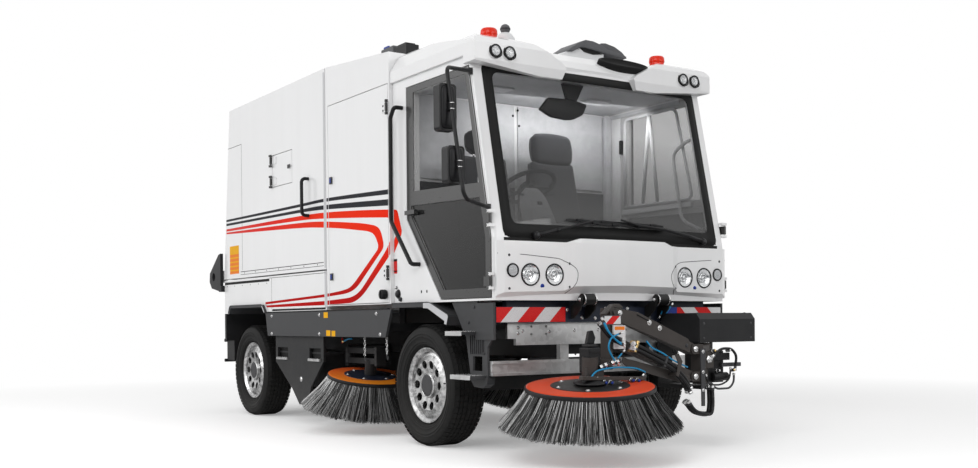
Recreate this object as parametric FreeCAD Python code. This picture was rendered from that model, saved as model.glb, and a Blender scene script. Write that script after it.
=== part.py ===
"""Compact street sweeper truck: chassis, cab, engine housing, tipping hopper and sweeping gear.

Lengths are millimetres. While it is modelled, x runs forward from the front axle, y to the left and z up from
the ground. The finished machine is moved along x so that the origin is under the middle of its length.
"""
import FreeCAD, Part
import math
import os

V = FreeCAD.Vector
X, Y, Z = V(1, 0, 0), V(0, 1, 0), V(0, 0, 1)
O = V(0, 0, 0)

# Fits and clearances
PIN_GAP = 0.5        # radial gap of a pin or shaft in its bore
RUN_GAP = 6.0        # gap between panels and parts that move past each other
SEAT_GAP = 0.3       # gap where a curved piece sits in another

# Running gear
WHEELBASE = 3300.0
TYRE_R, TYRE_W, BEAD_R = 425.0, 262.0, 247.0
FLANGE_R, RIM_W = 263.0, 190.0
FRONT_TRACK, REAR_TRACK = 1822.0, 1750.0
KINGPIN_HALF = 770.0            # kingpin axis from the middle
SPINDLE_R = 38.0
BRAKE_R, BRAKE_T = 185.0, 14.0
HUB_R, HUB_CAP_R = 90.0, 84.0
HAND_HOLES, HAND_HOLE_R, HAND_HOLE_AT = 10, 29.0, 149.0
AXLE_H = 110.0                  # depth of the axle beam
SPRING_T, SPRING_HALF = 36.0, 450.0

# Chassis
RAIL_IN, RAIL_OUT = 360.0, 430.0
RAIL_Z0, RAIL_Z1 = 620.0, 800.0
RAIL_FRONT, RAIL_REAR = 740.0, -WHEELBASE - 550
BEARER_Z1, BEARER_HALF_X = 860.0, 30.0
BODY_HALF = 1050.0
SKIRT_T = 20.0
SKIRT_TOP, SKIRT_BOTTOM = 960.0, 755.0
SKIRT_REAR = -WHEELBASE + 500

# Front beam and steps
BEAM_X, BEAM_Z0, BEAM_Z1 = 790.0, 857.0, 958.0
BEAM_HALF = BODY_HALF - 58
STEP_IN = BODY_HALF - 65        # inner face of the steps' plates

# Bolt holes for an accessory on the crossbar
HOLES_Y, HOLES_Z, HOLES_WIDE, HOLES_HIGH, HOLES_R = -620.0, 805.0, 120.0, 50.0, 8.5

# Cab
CAB_HALF = BODY_HALF - 30
CAB_REAR, CAB_FRONT = -430.0, 865.0
CAB_FLOOR, CAB_TOP, CAB_KINK = 1000.0, 2600.0, 1400.0
CAB_LEAN = 265.0                # how far the top of the front stands behind its foot
CAB_WALL, CAB_FLOOR_T = 50.0, 40.0
CAB_CORNER = 35.0
SCREEN_BOW, SCREEN_T = 40.0, 10.0
SCREEN_HALF = CAB_HALF - 88
SCREEN_Z0, SCREEN_Z1 = 1410.0, 2560.0
SCREEN_FRAME = 26.0
DOOR_REAR, DOOR_STEP_X = -230.0, 230.0
DOOR_Z0, DOOR_WAIST, DOOR_Z1 = 1020.0, 1600.0, 2530.0
DOOR_SETBACK = 27.0             # door's front edge behind the cab's front
ROOF_REAR_Z, ROOF_FRONT_Z = 2840.0, 2680.0
WHEEL_AT, WHEEL_TILT, WHEEL_R = V(470, 555 - CAB_HALF, 1790), 62.0, 190.0
PASSENGER_Y = 180.0
LAMP_T = 18.0
# round lamps: (x of the face, y, z, radius); head and position lamps in the fascia, then work lamps in the roof
LAMPS = [(x, side * (CAB_HALF - inset), z, r)
         for x, inset, z, r in ((914, 256, 1164, 73), (918, 445, 1166, 73), (912, 120, 1190, 45), (712, 139, 2622, 42),
                                (712, 250, 2622, 42))
         for side in (-1, 1)]
FASCIA_LAMPS = 6

# Housing behind the cab
HOUSE_REAR, HOUSE_WALL = -1500.0, 32.0
HOUSE_Z0, HOUSE_Z1_REAR, HOUSE_Z1_FRONT = 1000.0, 2920.0, 2830.0
SERVICE_X0, SERVICE_X1, SERVICE_Z0, SERVICE_Z1 = -1458.0, -456.0, 1012.0, 2600.0
ENGINE_L, ENGINE_W, ENGINE_H = 760.0, 640.0, 700.0

# Lower body and hopper
LOWER_REAR = -WHEELBASE - 530
LOWER_FRONT, LOWER_Z0, LOWER_Z1 = -1515.0, 970.0, 1288.0
HOPPER_FRONT, HOPPER_REAR = -1515.0, -WHEELBASE - 540
HOPPER_REAR_TOP = HOPPER_REAR + 190
HOPPER_Z0, HOPPER_Z1, HOPPER_WALL = 1300.0, 2920.0, 40.0
TAILGATE_HALF, TAILGATE_Z0, TAILGATE_Z1, TAILGATE_T = 935.0, 1340.0, 2835.0, 45.0
HATCH_X0, HATCH_X1, HATCH_Z0, HATCH_Z1 = -2595.0, -2180.0, 2077.0, 2352.0
ARCH_IN = 700.0                 # inner face of the cut over the rear wheels
GATE_HINGES = (-640, 0, 640)    # middles of the tailgate's hinges
GATE_HINGE_W, GATE_BARREL_R, GATE_PIN_R = 90.0, 16.0, 8.0
TIP_X = HOPPER_REAR - 90
TIP_Z, TIP_PIN_R = 1330.0, 22.0
EYE_R = 42.0                    # lashing eye in each tipping plate
TIP_LUG_R, TIP_PLATE = 58.0, 30.0
HANDLE_X = -1843.0

# Hinges of doors and hatches
HINGE_PIN_R, HINGE_R, HINGE_H, HINGE_LUG, HINGE_OFF = 5.5, 11.0, 60.0, 18.0, 16.0
LEAF_T, LEAF_L = 6.0, 90.0
CAB_HINGE_X = CAB_FRONT - 13
SERVICE_HINGE_X = SERVICE_X1 + 9
SERVICE_HINGES = (1226, 2430)   # heights
HATCH_HINGE_X = HATCH_X0 - 9
HATCH_HINGES = (HATCH_Z0 + 45, HATCH_Z1 - 45)

# Side brushes
SIDE_BRUSH_Y = BODY_HALF - 250
SIDE_BRUSH = V(-1247, SIDE_BRUSH_Y, 449)
SIDE_DISC_R, SIDE_TIP_R, SIDE_DROP, SIDE_TILT = 342.0, 545.0, 256.0, 9.8
SIDE_PIVOT = V(-1615, SIDE_BRUSH_Y, 0)
SIDE_PIN_R, SIDE_PIN_Z0, SIDE_PIN_Z1 = 20.0, 530.0, 668.0

# Front brush and its arm
FRONT_BRUSH = V(1355, -640, 473)
FRONT_DISC_R, FRONT_TIP_R, FRONT_DROP, FRONT_TILT = 404.0, 582.0, 240.0, 6.4
FRONT_LEAN_TO = -37.5            # the disc's low side, in degrees from straight ahead
DISC_T = 30.0
SLEW = V(1200, 480, 0)
LINK_ROOT = V(1300, 250, 672)
LINK_TIP_Y, LINK_RISE, LINK_DROP = -400.0, 240.0, 180.0
LINK_H, LINK_W, LINK_PIN_R, CHEEK_T, CHEEK_GAP = 70.0, 70.0, 14.0, 12.0, 2.0

# Sweeping housing and roller
SWEEP_X0, SWEEP_X1, SWEEP_T = -2664.0, -1667.0, 20.0
SWEEP_HALF = BODY_HALF - 40
ROLLER_X, ROLLER_Z, ROLLER_R, ROLLER_SHAFT_R = -2120.0, 385.0, 190.0, 22.0
ROLLER_HALF = SWEEP_HALF - SWEEP_T - 30


def box(x0, x1, y0, y1, z0, z1):
    return Part.makeBox(x1 - x0, y1 - y0, z1 - z0, V(x0, y0, z0))


def cyl(start, axis, radius, length):
    return Part.makeCylinder(radius, length, start, axis)


def tube(start, axis, radius, bore, length):
    return cyl(start, axis, radius, length).cut(cyl(start, axis, bore, length))


def prism(points, sweep):
    """A flat outline pushed along a vector."""
    return Part.Face(Part.makePolygon(points + points[:1])).extrude(sweep)


def side_prism(outline, y0, y1):
    return prism([V(x, y0, z) for x, z in outline], V(0, y1 - y0, 0))


def front_prism(outline, x0, x1):
    return prism([V(x0, y, z) for y, z in outline], V(x1 - x0, 0, 0))


def plan_prism(outline, z0, z1):
    return prism([V(x, y, z0) for x, y in outline], V(0, 0, z1 - z0))


def fuse(*shapes):
    first, rest = shapes[0], list(shapes[1:])
    return (first.fuse(rest) if rest else first).removeSplitter()


def mirrored(shape):
    """The same piece on the other side of the machine."""
    return shape.mirror(O, Y)


def both(shape):
    return [shape, mirrored(shape)]


def revolve(profile, centre, side):
    """A turned piece about a wheel's axis; the profile lists (radius, distance outward)."""
    points = [V(r, side * w, 0) for r, w in profile]
    solid = Part.Face(Part.makePolygon(points + points[:1])).revolve(O, Y, 360)
    solid.translate(centre)
    return solid


def turned(profile):
    """A turned piece about the z axis; the profile lists (radius, height)."""
    points = [V(r, 0, h) for r, h in profile]
    return Part.Face(Part.makePolygon(points + points[:1])).revolve(O, Z, 360)


def pipe(points, radius, bend):
    """A round bar through the points, with tangent arcs at the corners."""
    edges, last = [], points[0]
    for before, at, after in zip(points, points[1:], points[2:]):
        back, ahead = (before - at).normalize(), (after - at).normalize()
        half = back.getAngle(ahead) / 2
        reach = bend / math.tan(half)
        start, end = at + back * reach, at + ahead * reach
        middle_way = (back + ahead).normalize()
        mid = at + middle_way * (bend / math.sin(half) - bend)
        edges += [Part.LineSegment(last, start).toShape(), Part.Arc(start, mid, end).toShape()]
        last = end
    edges.append(Part.LineSegment(last, points[-1]).toShape())
    ring = Part.Wire(Part.makeCircle(radius, points[0], points[1] - points[0]))
    return Part.Wire(edges).makePipeShell([ring], True, False, 2)


# ---------------------------------------------------------------- running gear

def tyre(centre, side):
    half, tread = TYRE_W / 2, TYRE_W * 0.42
    flange = RIM_W / 2
    bead = flange - 13 - SEAT_GAP
    profile = [
        (BEAD_R, -bead), (BEAD_R, bead), (FLANGE_R + 1, bead), (FLANGE_R + 8, flange - 6), (FLANGE_R + 40, half - 8),
        (TYRE_R * 0.80, half), (TYRE_R - 42, half - 9), (TYRE_R - 12, tread + 6), (TYRE_R, tread - 14),
        (TYRE_R, -tread + 14), (TYRE_R - 12, -tread - 6), (TYRE_R - 42, -half + 9), (TYRE_R * 0.80, -half),
        (FLANGE_R + 40, -half + 8), (FLANGE_R + 8, -flange + 6), (FLANGE_R + 1, -bead),
    ]
    return revolve(profile, centre, side)


def rim(centre, side):
    """A drop-centre barrel with a dished disc, ten hand holes and a hub on the spindle."""
    half, seat = RIM_W / 2, BEAD_R - SEAT_GAP
    disc_in, disc_out, wall = RIM_W / 2 - 42, RIM_W / 2 - 28, 9.0
    bore = SPINDLE_R + PIN_GAP
    profile = [
        (bore, -30), (HUB_R, -30), (HUB_R, disc_in), (175, disc_in + 22), (205, disc_in), (seat - wall, disc_in - 30),
        (seat - wall, -half + 14), (FLANGE_R - 8, -half), (FLANGE_R, -half), (FLANGE_R, -half + 11),
        (seat, -half + 13), (seat, half - 13), (FLANGE_R, half - 11), (FLANGE_R, half), (FLANGE_R - 8, half),
        (seat - wall - 3, half - 16), (seat - wall - 3, disc_in + 6), (208, disc_out), (175, disc_out + 22),
        (HUB_R, disc_out + 8), (HUB_CAP_R, disc_out + 22), (HUB_CAP_R - 10, disc_out + 28), (0.0, disc_out + 28),
        (0.0, disc_out + 14), (bore, disc_out + 14),
    ]
    wheel = revolve(profile, centre, side)
    holes = []
    for k in range(HAND_HOLES):
        turn = math.radians(360.0 / HAND_HOLES * k)
        at = centre + V(math.cos(turn) * HAND_HOLE_AT, 0, math.sin(turn) * HAND_HOLE_AT)
        holes.append(cyl(at, V(0, side, 0), HAND_HOLE_R, half))
    return wheel.cut(holes)


def leaf_spring(x, seat_z):
    """A leaf pack under each rail, with its end blocks against the rail."""
    x0, x1, z = x - SPRING_HALF, x + SPRING_HALF, RAIL_Z0
    edges = [
        Part.LineSegment(V(x0, RAIL_IN, z), V(x0, RAIL_IN, z - SPRING_T)).toShape(),
        Part.Arc(V(x0, RAIL_IN, z - SPRING_T), V(x, RAIL_IN, seat_z), V(x1, RAIL_IN, z - SPRING_T)).toShape(),
        Part.LineSegment(V(x1, RAIL_IN, z - SPRING_T), V(x1, RAIL_IN, z)).toShape(),
        Part.Arc(V(x1, RAIL_IN, z), V(x, RAIL_IN, seat_z + SPRING_T), V(x0, RAIL_IN, z)).toShape(),
    ]
    return Part.Face(Part.Wire(edges)).extrude(V(0, RAIL_OUT - RAIL_IN, 0))


def knuckle(side):
    y = side * KINGPIN_HALF
    wheel_y = FRONT_TRACK / 2
    boss_z0, boss_z1 = TYRE_R - 85, TYRE_R + 85
    boss = cyl(V(0, y, boss_z0), Z, 40, boss_z1 - boss_z0)
    out = V(0, side, 0)
    spindle = cyl(V(0, y, TYRE_R), out, SPINDLE_R, wheel_y + 50 - KINGPIN_HALF)
    plate = cyl(V(0, side * (wheel_y - RIM_W / 2 + 4), TYRE_R), out, BRAKE_R, BRAKE_T)
    bore = cyl(V(0, y, boss_z0), Z, 15 + PIN_GAP, boss_z1 - boss_z0)
    return fuse(boss, spindle, plate).cut(bore)


def front_axle():
    z0, z1 = TYRE_R - AXLE_H / 2, TYRE_R + AXLE_H / 2
    beam_end = KINGPIN_HALF - 70
    yoke_z0, yoke_z1 = TYRE_R - 125, TYRE_R + 125
    parts = [box(-45, 45, -beam_end, beam_end, z0, z1)]
    for side in (-1, 1):
        y = side * KINGPIN_HALF
        near, far = sorted((side * (beam_end - 30), side * beam_end))
        parts.append(box(-45, 45, near, far, yoke_z0, yoke_z1))
        for low, high in ((yoke_z0, TYRE_R - 90), (TYRE_R + 90, yoke_z1)):
            a, b = sorted((side * beam_end, y))
            parts += [box(-40, 40, a, b, low, high), cyl(V(0, y, low), Z, 40, high - low)]
        parts.append(cyl(V(0, y, yoke_z0), Z, 15, yoke_z1 - yoke_z0))
    parts += both(leaf_spring(0, z1 - 10))
    return fuse(*parts)


def rear_axle():
    x, wheel_y = -WHEELBASE, REAR_TRACK / 2
    parts = [
        cyl(V(x, -wheel_y - 50, TYRE_R), Y, SPINDLE_R, REAR_TRACK + 100),
        cyl(V(x, -wheel_y + 170, TYRE_R), Y, 62, REAR_TRACK - 340),
        Part.makeSphere(160, V(x, 0, TYRE_R)),
    ]
    for side in (-1, 1):
        inner = side * (wheel_y - RIM_W / 2 + 4)
        parts.append(cyl(V(x, inner, TYRE_R), V(0, side, 0), BRAKE_R, BRAKE_T))
        parts.append(cyl(V(x, side * (wheel_y - 175), TYRE_R), V(0, side, 0), 75, 90))
    parts += both(leaf_spring(x, TYRE_R + 50))
    return fuse(*parts)


# ---------------------------------------------------------------- chassis

def chassis_frame():
    return both(box(RAIL_REAR, RAIL_FRONT, RAIL_IN, RAIL_OUT, RAIL_Z0, RAIL_Z1))


def cross_members():
    """Members between the rails, and the plate under their front ends."""
    members = [box(x - 40, x + 40, -RAIL_IN, RAIL_IN, RAIL_Z0 + 20, RAIL_Z1 - 20)
               for x in (RAIL_FRONT - 80, -480, -1480, SKIRT_REAR + 60, RAIL_REAR + 70)]
    return members + [box(RAIL_FRONT - 40, RAIL_FRONT - 2, -640, 640, 500, RAIL_Z0)]


def body_bearers():
    """Bearers across the rails that carry the skirts, and the blocks under the cab, housing and lower body."""
    half = BODY_HALF - SKIRT_T
    bearers = [box(x - BEARER_HALF_X, x + BEARER_HALF_X, -half, half, RAIL_Z1, BEARER_Z1)
               for x in (-560, -1600, SKIRT_REAR + 120)]
    # blocks: (x, top)
    for x, top in ((RAIL_FRONT - 110, CAB_FLOOR), (-300, CAB_FLOOR), (-660, HOUSE_Z0), (-1380, HOUSE_Z0),
                   (-1800, LOWER_Z0), (SKIRT_REAR + 200, LOWER_Z0), (RAIL_REAR + 100, LOWER_Z0)):
        bearers += both(box(x - 45, x + 45, RAIL_IN, RAIL_OUT, RAIL_Z1, top))
    return bearers


def side_skirts():
    outline = [(SKIRT_REAR, SKIRT_TOP), (-430, SKIRT_TOP), (-520, SKIRT_BOTTOM), (SKIRT_REAR + 50, SKIRT_BOTTOM)]
    return both(side_prism(outline, BODY_HALF - SKIRT_T, BODY_HALF))


def mudguards():
    """Wheel-arch covers: sheets over the tyres, and a liner along each rail beside the front wheels."""
    z, edge = CAB_FLOOR, CAB_HALF + 20
    front = [(CAB_REAR, z - 30), (80, z - 30), (318, z - 118), (306, z - 150), (330, z - 158), (352, z - 100),
             (345, z - 88), (100, z), (CAB_REAR, z)]
    liner = side_prism([(CAB_REAR, RAIL_Z1 - 60), (400, RAIL_Z1 - 60), (400, z - 170), (318, z - 118), (80, z - 30),
                        (CAB_REAR, z - 30)], RAIL_OUT, RAIL_OUT + 12)
    cover = fuse(side_prism(front, RAIL_OUT, edge), liner)
    rear_x = -WHEELBASE
    top = LOWER_Z0 + 66
    rear = [(rear_x - 380, LOWER_Z0 - 10), (rear_x - 340, top), (rear_x + 470, top), (rear_x + 540, LOWER_Z0 - 10),
            (rear_x + 515, LOWER_Z0 - 10), (rear_x + 455, top - 22), (rear_x - 325, top - 22),
            (rear_x - 355, LOWER_Z0 - 10)]
    return both(cover) + both(side_prism(rear, ARCH_IN, BODY_HALF + 22))


def rear_bumper():
    """Panel and under-run frame on the rail ends, and the plates that carry the hopper's tipping pins."""
    x, low, high = RAIL_REAR, 500.0, 700.0
    half = BODY_HALF - 100
    panel = box(x - 40, x, -BODY_HALF + SKIRT_T, BODY_HALF - SKIRT_T, high, LOWER_Z0 - RUN_GAP)
    frame = box(x - 200, x, -half, half, low, high)
    pipes = [cyl(V(x - 215, -half - 20, z), Y, 16, 2 * half + 40) for z in (low, high)]
    inner = BODY_HALF + RUN_GAP
    eye = V(TIP_X - 110, inner, TIP_Z)
    outline = [(LOWER_REAR - 22, TIP_Z + 225), (LOWER_REAR - 75, TIP_Z + 215), (eye.x - 110, TIP_Z + 40),
               (eye.x - 120, TIP_Z - 45), (eye.x - 60, TIP_Z - 110), (LOWER_REAR - 22, TIP_Z - 150)]
    plate = side_prism(outline, inner, inner + TIP_PLATE)
    plate = plate.cut(cyl(eye, Y, EYE_R, TIP_PLATE))
    foot = box(LOWER_REAR - 70, LOWER_REAR, BODY_HALF - 70, inner + TIP_PLATE, TIP_Z - 150, TIP_Z - 90)
    pin = cyl(V(TIP_X, BODY_HALF - 60, TIP_Z), Y, TIP_PIN_R, 60 + RUN_GAP + TIP_PLATE)
    plates = both(fuse(plate, foot, pin))
    return [fuse(panel, frame, *pipes)] + plates


def front_beam():
    """The painted impact beam on brackets from the rails, with the two tow rollers under the fascia."""
    beam = box(BEAM_X, BEAM_X + 60, -BEAM_HALF, BEAM_HALF, BEAM_Z0, BEAM_Z1)
    foot = [(RAIL_FRONT - 45, RAIL_Z1), (RAIL_FRONT - 2, RAIL_Z1), (RAIL_FRONT - 2, BEAM_Z0), (BEAM_X, BEAM_Z0),
            (BEAM_X, BEAM_Z1), (RAIL_FRONT - 45, BEAM_Z1)]
    brackets = both(side_prism(foot, RAIL_IN, RAIL_OUT))
    apron = box(BEAM_X - 45, BEAM_X + 5, -BEAM_HALF + 120, BEAM_HALF - 120, BEAM_Z1, CAB_FLOOR)
    roller = V(950, 325, 1006)
    face = BEAM_X + 60
    ear = [(face, BEAM_Z1 - 78), (face, BEAM_Z1), (roller.x - 25, roller.z - 8), (roller.x - 15, roller.z + 20),
           (roller.x + 15, roller.z + 20), (roller.x + 26, roller.z - 5), (roller.x + 5, roller.z - 68),
           (face + 30, BEAM_Z1 - 78)]
    rollers = []
    for side in (-1, 1):
        y = side * roller.y
        rollers += [side_prism(ear, y - 72, y - 60), side_prism(ear, y + 48, y + 60)]
        rollers.append(cyl(V(roller.x, y - 66, roller.z), Y, 18, 120))
        rollers.append(cyl(V(roller.x, y - 50, roller.z), Y, 38, 92))
    return fuse(beam, apron, *brackets, *rollers)


def front_crossbar():
    """Bright crossbar panel under the beam and the lower bar, hung from the rails."""
    x = BEAM_X + 10
    panel = box(x - 20, x, -BEAM_HALF + 122, BEAM_HALF - 122, 752, BEAM_Z0)
    strip = box(x - 24, x, -BEAM_HALF + 187, BEAM_HALF - 187, 710, 752)
    bar = box(RAIL_FRONT, x, -STEP_IN, STEP_IN, 515, 610)
    groove = box(x - 14, x + 1, -STEP_IN - 1, STEP_IN + 1, 532, 590)
    hangers = both(box(RAIL_FRONT, RAIL_FRONT + 40, RAIL_IN, RAIL_OUT, 600, BEAM_Z0))
    holes = [cyl(V(x - 30, HOLES_Y + a * HOLES_WIDE / 2, HOLES_Z + b * HOLES_HIGH / 2), X, HOLES_R, 40)
             for a in (-1, 1) for b in (-1, 1)]
    return fuse(panel, strip, bar.cut(groove), *hangers).cut(holes)


def entry_steps():
    """Two treads with a ribbed riser beside the bumper, under each door."""
    near, face, edge = STEP_IN, STEP_IN + 15, STEP_IN + 135
    post = box(640, 850, near + 10, near + 27, 748, 985)
    back = side_prism([(330, 1000), (640, 1000), (640, 760), (500, 770)], near, face)
    riser = side_prism([(500, 790), (850, 790), (760, 700), (760, 505), (560, 505)], near, face)
    window = box(590, 700, near, face, 545, 640)
    treads = [box(440, 640, near, edge, 782, 800), box(500, 740, near, edge, 500, 518)]
    ribs = [box(560 + 24 * k, 568 + 24 * k, face, face + 8, 655, 775) for k in range(7)]
    lip = side_prism([(540, 505), (760, 505), (750, 460), (700, 435), (600, 440)], near - 45, face)
    step = fuse(post, back, riser.cut(window), lip, *treads, *ribs)
    return both(step)


# ---------------------------------------------------------------- cab

def front_x(z):
    """The front plane of the cab at a height."""
    return CAB_FRONT - max(0.0, z - CAB_KINK) * CAB_LEAN / (CAB_TOP - CAB_KINK)


def plan_wire(z, inset, bow):
    """Outline of the cab seen from above, its front bowed between rounded corners."""
    half, rear, front = CAB_HALF - inset, CAB_REAR + inset, front_x(z) - inset
    c = CAB_CORNER
    s = c * (1 - math.sqrt(0.5))
    points = [V(rear, -half, z), V(front - c, -half, z), V(front - s, -half + s, z), V(front, -half + c, z),
              V(front + bow, 0, z), V(front, half - c, z), V(front - s, half - s, z), V(front - c, half, z),
              V(rear, half, z)]
    edges = [
        Part.LineSegment(points[0], points[1]).toShape(), Part.Arc(points[1], points[2], points[3]).toShape(),
        Part.Arc(points[3], points[4], points[5]).toShape() if bow else
        Part.LineSegment(points[3], points[5]).toShape(),
        Part.Arc(points[5], points[6], points[7]).toShape(), Part.LineSegment(points[7], points[8]).toShape(),
        Part.LineSegment(points[8], points[0]).toShape(),
    ]
    return Part.Face(Part.Wire(edges))


def cab_volume(inset, z0, z1):
    """The cab's outer form moved inward by an inset: upright to the kink, leaning back above it."""
    low = plan_wire(z0, inset, SCREEN_BOW)
    body = low.extrude(V(0, 0, CAB_KINK - z0))
    top = plan_wire(CAB_KINK, inset, SCREEN_BOW)
    lean = front_x(z1) - CAB_FRONT
    high = top.extrude(V(lean, 0, z1 - CAB_KINK))
    high = high.cut(box(CAB_REAR - 2000, CAB_REAR + inset, -2000, 2000, CAB_KINK - 1, z1 + 1))
    half = CAB_HALF - inset
    rear = box(CAB_REAR + inset, CAB_REAR + 600, -half, half, CAB_KINK, z1)
    return fuse(body, high, rear)


def door_outline(grow):
    """Side outline of a cab door, or of its opening when grown by the gap."""
    g = grow
    kink = CAB_KINK
    return [
        (DOOR_REAR - g, DOOR_Z1 + g), (front_x(DOOR_Z1) - DOOR_SETBACK + g, DOOR_Z1 + g),
        (CAB_FRONT - DOOR_SETBACK + g, kink), (CAB_FRONT - DOOR_SETBACK + g, DOOR_Z0 - g),
        (DOOR_STEP_X - g, DOOR_Z0 - g), (DOOR_REAR - g, DOOR_WAIST - g),
    ]


def window_outline():
    """Upper pane of a door: the outline set in by the door's frame."""
    top, low = DOOR_Z1 - 45, 1790
    return [(DOOR_REAR + 95, top), (front_x(top) - DOOR_SETBACK - 48, top),
            (front_x(low) - DOOR_SETBACK - 48, low - 30), (DOOR_REAR + 95, low)]


def lower_pane_outline():
    top, low = 1690, DOOR_Z0 + 60
    return [(DOOR_REAR + 60, top), (front_x(top) - DOOR_SETBACK - 60, top - 25),
            (CAB_FRONT - DOOR_SETBACK - 60, CAB_KINK), (CAB_FRONT - DOOR_SETBACK - 60, low),
            (DOOR_STEP_X + 30, low), (DOOR_REAR + 60, DOOR_WAIST + 10)]


def screen_plane(half, z0, z1, thick, setback):
    """A bowed pane on the leaning front, from its plan outline pushed along the lean."""
    def arc(x, y_half, bow):
        return Part.Arc(V(x, -y_half, z0), V(x + bow, 0, z0), V(x, y_half, z0)).toShape()
    span = CAB_HALF - CAB_CORNER
    bow = SCREEN_BOW * (half / span) ** 2
    x = front_x(z0) + SCREEN_BOW - bow - setback
    edges = [
        arc(x, half, bow), Part.LineSegment(V(x, half, z0), V(x - thick, half, z0)).toShape(),
        arc(x - thick, half, bow), Part.LineSegment(V(x - thick, -half, z0), V(x, -half, z0)).toShape(),
    ]
    return Part.Face(Part.Wire(edges)).extrude(V(front_x(z1) - front_x(z0), 0, z1 - z0))


def hinge(x, face, z, toward, pin_from):
    """One external hinge on the left side: the door's barrel with its leaf, and the fixed pin with its lugs.

    toward is the direction of the door along x, pin_from the x where the fixed lugs start.
    """
    y = face + HINGE_OFF
    z0, z1 = z - HINGE_H / 2, z + HINGE_H / 2
    a, b = sorted((x, x + toward * LEAF_L))
    barrel = fuse(cyl(V(x, y, z0), Z, HINGE_R, HINGE_H), box(a, b, face, face + LEAF_T, z0, z1))
    neck = box(min(x, x + toward * HINGE_R), max(x, x + toward * HINGE_R), face, y, z0, z1)
    barrel = fuse(barrel, neck)
    barrel = barrel.cut(cyl(V(x, y, z0 - 1), Z, HINGE_PIN_R + PIN_GAP, HINGE_H + 2))
    fixed = [cyl(V(x, y, z0 - 6 - HINGE_LUG), Z, HINGE_PIN_R, HINGE_H + 12 + 2 * HINGE_LUG)]
    c, d = sorted((pin_from, x - toward * HINGE_R))
    for low in (z0 - 6 - HINGE_LUG, z1 + 6):
        fixed += [cyl(V(x, y, low), Z, HINGE_R, HINGE_LUG), box(c, d, face - 22, y + HINGE_R, low, low + HINGE_LUG)]
    return barrel, fuse(*fixed)


# hinges of a cab door: (height, x where the fixed lugs start)
CAB_HINGES = [(z, front_x(z - HINGE_H / 2 - 6 - HINGE_LUG) - DOOR_SETBACK + RUN_GAP) for z in (1122, 1520)]


def cab_shell():
    shell = cab_volume(0, CAB_FLOOR, CAB_TOP)
    shell = shell.cut(cab_volume(CAB_WALL, CAB_FLOOR + CAB_FLOOR_T, CAB_TOP - CAB_WALL))
    opening = side_prism(door_outline(RUN_GAP), CAB_HALF - CAB_WALL - 1, CAB_HALF + 1)
    glass = screen_plane(SCREEN_HALF - SCREEN_FRAME, SCREEN_Z0 + SCREEN_FRAME, SCREEN_Z1 - SCREEN_FRAME, 200, -80)
    rebate = screen_plane(SCREEN_HALF + SEAT_GAP, SCREEN_Z0 - SEAT_GAP, SCREEN_Z1 + SEAT_GAP,
                          SCREEN_T + SEAT_GAP + 80, -80)
    shell = shell.cut(both(opening) + [glass, rebate])
    for z, start in CAB_HINGES:
        fixed = hinge(CAB_HINGE_X, CAB_HALF, z, -1, start)[1]
        shell = shell.fuse(both(fixed))
    return shell.removeSplitter()


def windscreen():
    return screen_plane(SCREEN_HALF, SCREEN_Z0, SCREEN_Z1, SCREEN_T, 0)


def cab_door():
    """The left door: the cab wall inside the door outline, with two glazed openings, hinges and a handle."""
    skin = cab_volume(0, CAB_FLOOR, CAB_TOP).common(
        side_prism(door_outline(0), CAB_HALF - CAB_WALL, CAB_HALF + 1))
    for outline in (window_outline(), lower_pane_outline()):
        skin = skin.cut(side_prism(outline, CAB_HALF - CAB_WALL - 1, CAB_HALF + 2))
    barrels = [hinge(CAB_HINGE_X, CAB_HALF, z, -1, start)[0] for z, start in CAB_HINGES]
    handle = box(DOOR_REAR + 12, DOOR_REAR + 150, CAB_HALF, CAB_HALF + 30, 1625, 1655)
    return fuse(skin, handle, *barrels)


def cab_door_glass():
    y1 = CAB_HALF - 12
    panes = [side_prism(o, y1 - 12, y1) for o in (window_outline(), lower_pane_outline())]
    return panes


def roof_top(x):
    """Height of the roof cap's crown along the cab."""
    return ROOF_REAR_Z + (ROOF_FRONT_Z - ROOF_REAR_Z) * ((x - CAB_REAR) / (690 - CAB_REAR)) ** 1.5


def roof_cap():
    """Moulded roof that dips to the screen between two lamp pods, which hang over the screen's upper corners."""
    half, lip = CAB_HALF + 20, 2575.0
    top = [(x, roof_top(x)) for x in (CAB_REAR, 0, 300, 480)]
    middle = top + [(560, 2705), (620, 2650), (648, 2600), (642, lip), (front_x(CAB_TOP) + 2, lip),
                    (front_x(CAB_TOP) + 2, CAB_TOP), (CAB_REAR, CAB_TOP)]
    slab = side_prism(middle, -half, half)
    shoulder = front_prism([(-half, lip - 75), (half, lip - 75), (half, 2680), (half - 70, 2790), (half - 260, 2900),
                            (-half + 260, 2900), (-half + 70, 2790), (-half, 2680)], CAB_REAR - 1, 900)
    pod_side = [(330, CAB_TOP), (330, roof_top(330)), (470, 2748), (600, 2742), (672, 2712), (703, 2668), (703, 2560),
                (688, 2478), (560, 2478), (560, CAB_TOP)]
    pod_face = [(300, lip), (335, 2482), (half, 2548), (half, 2690), (half - 80, 2750), (640, 2750), (560, 2722),
                (330, 2604)]
    pod = side_prism(pod_side, 0, half).common(front_prism(pod_face, 300, 900))
    whole = fuse(slab.common(shoulder), *both(pod.common(shoulder)))
    return whole.cut(cab_volume(2, CAB_FLOOR, CAB_TOP)).cut(cab_volume(0, CAB_FLOOR, CAB_TOP))


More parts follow.
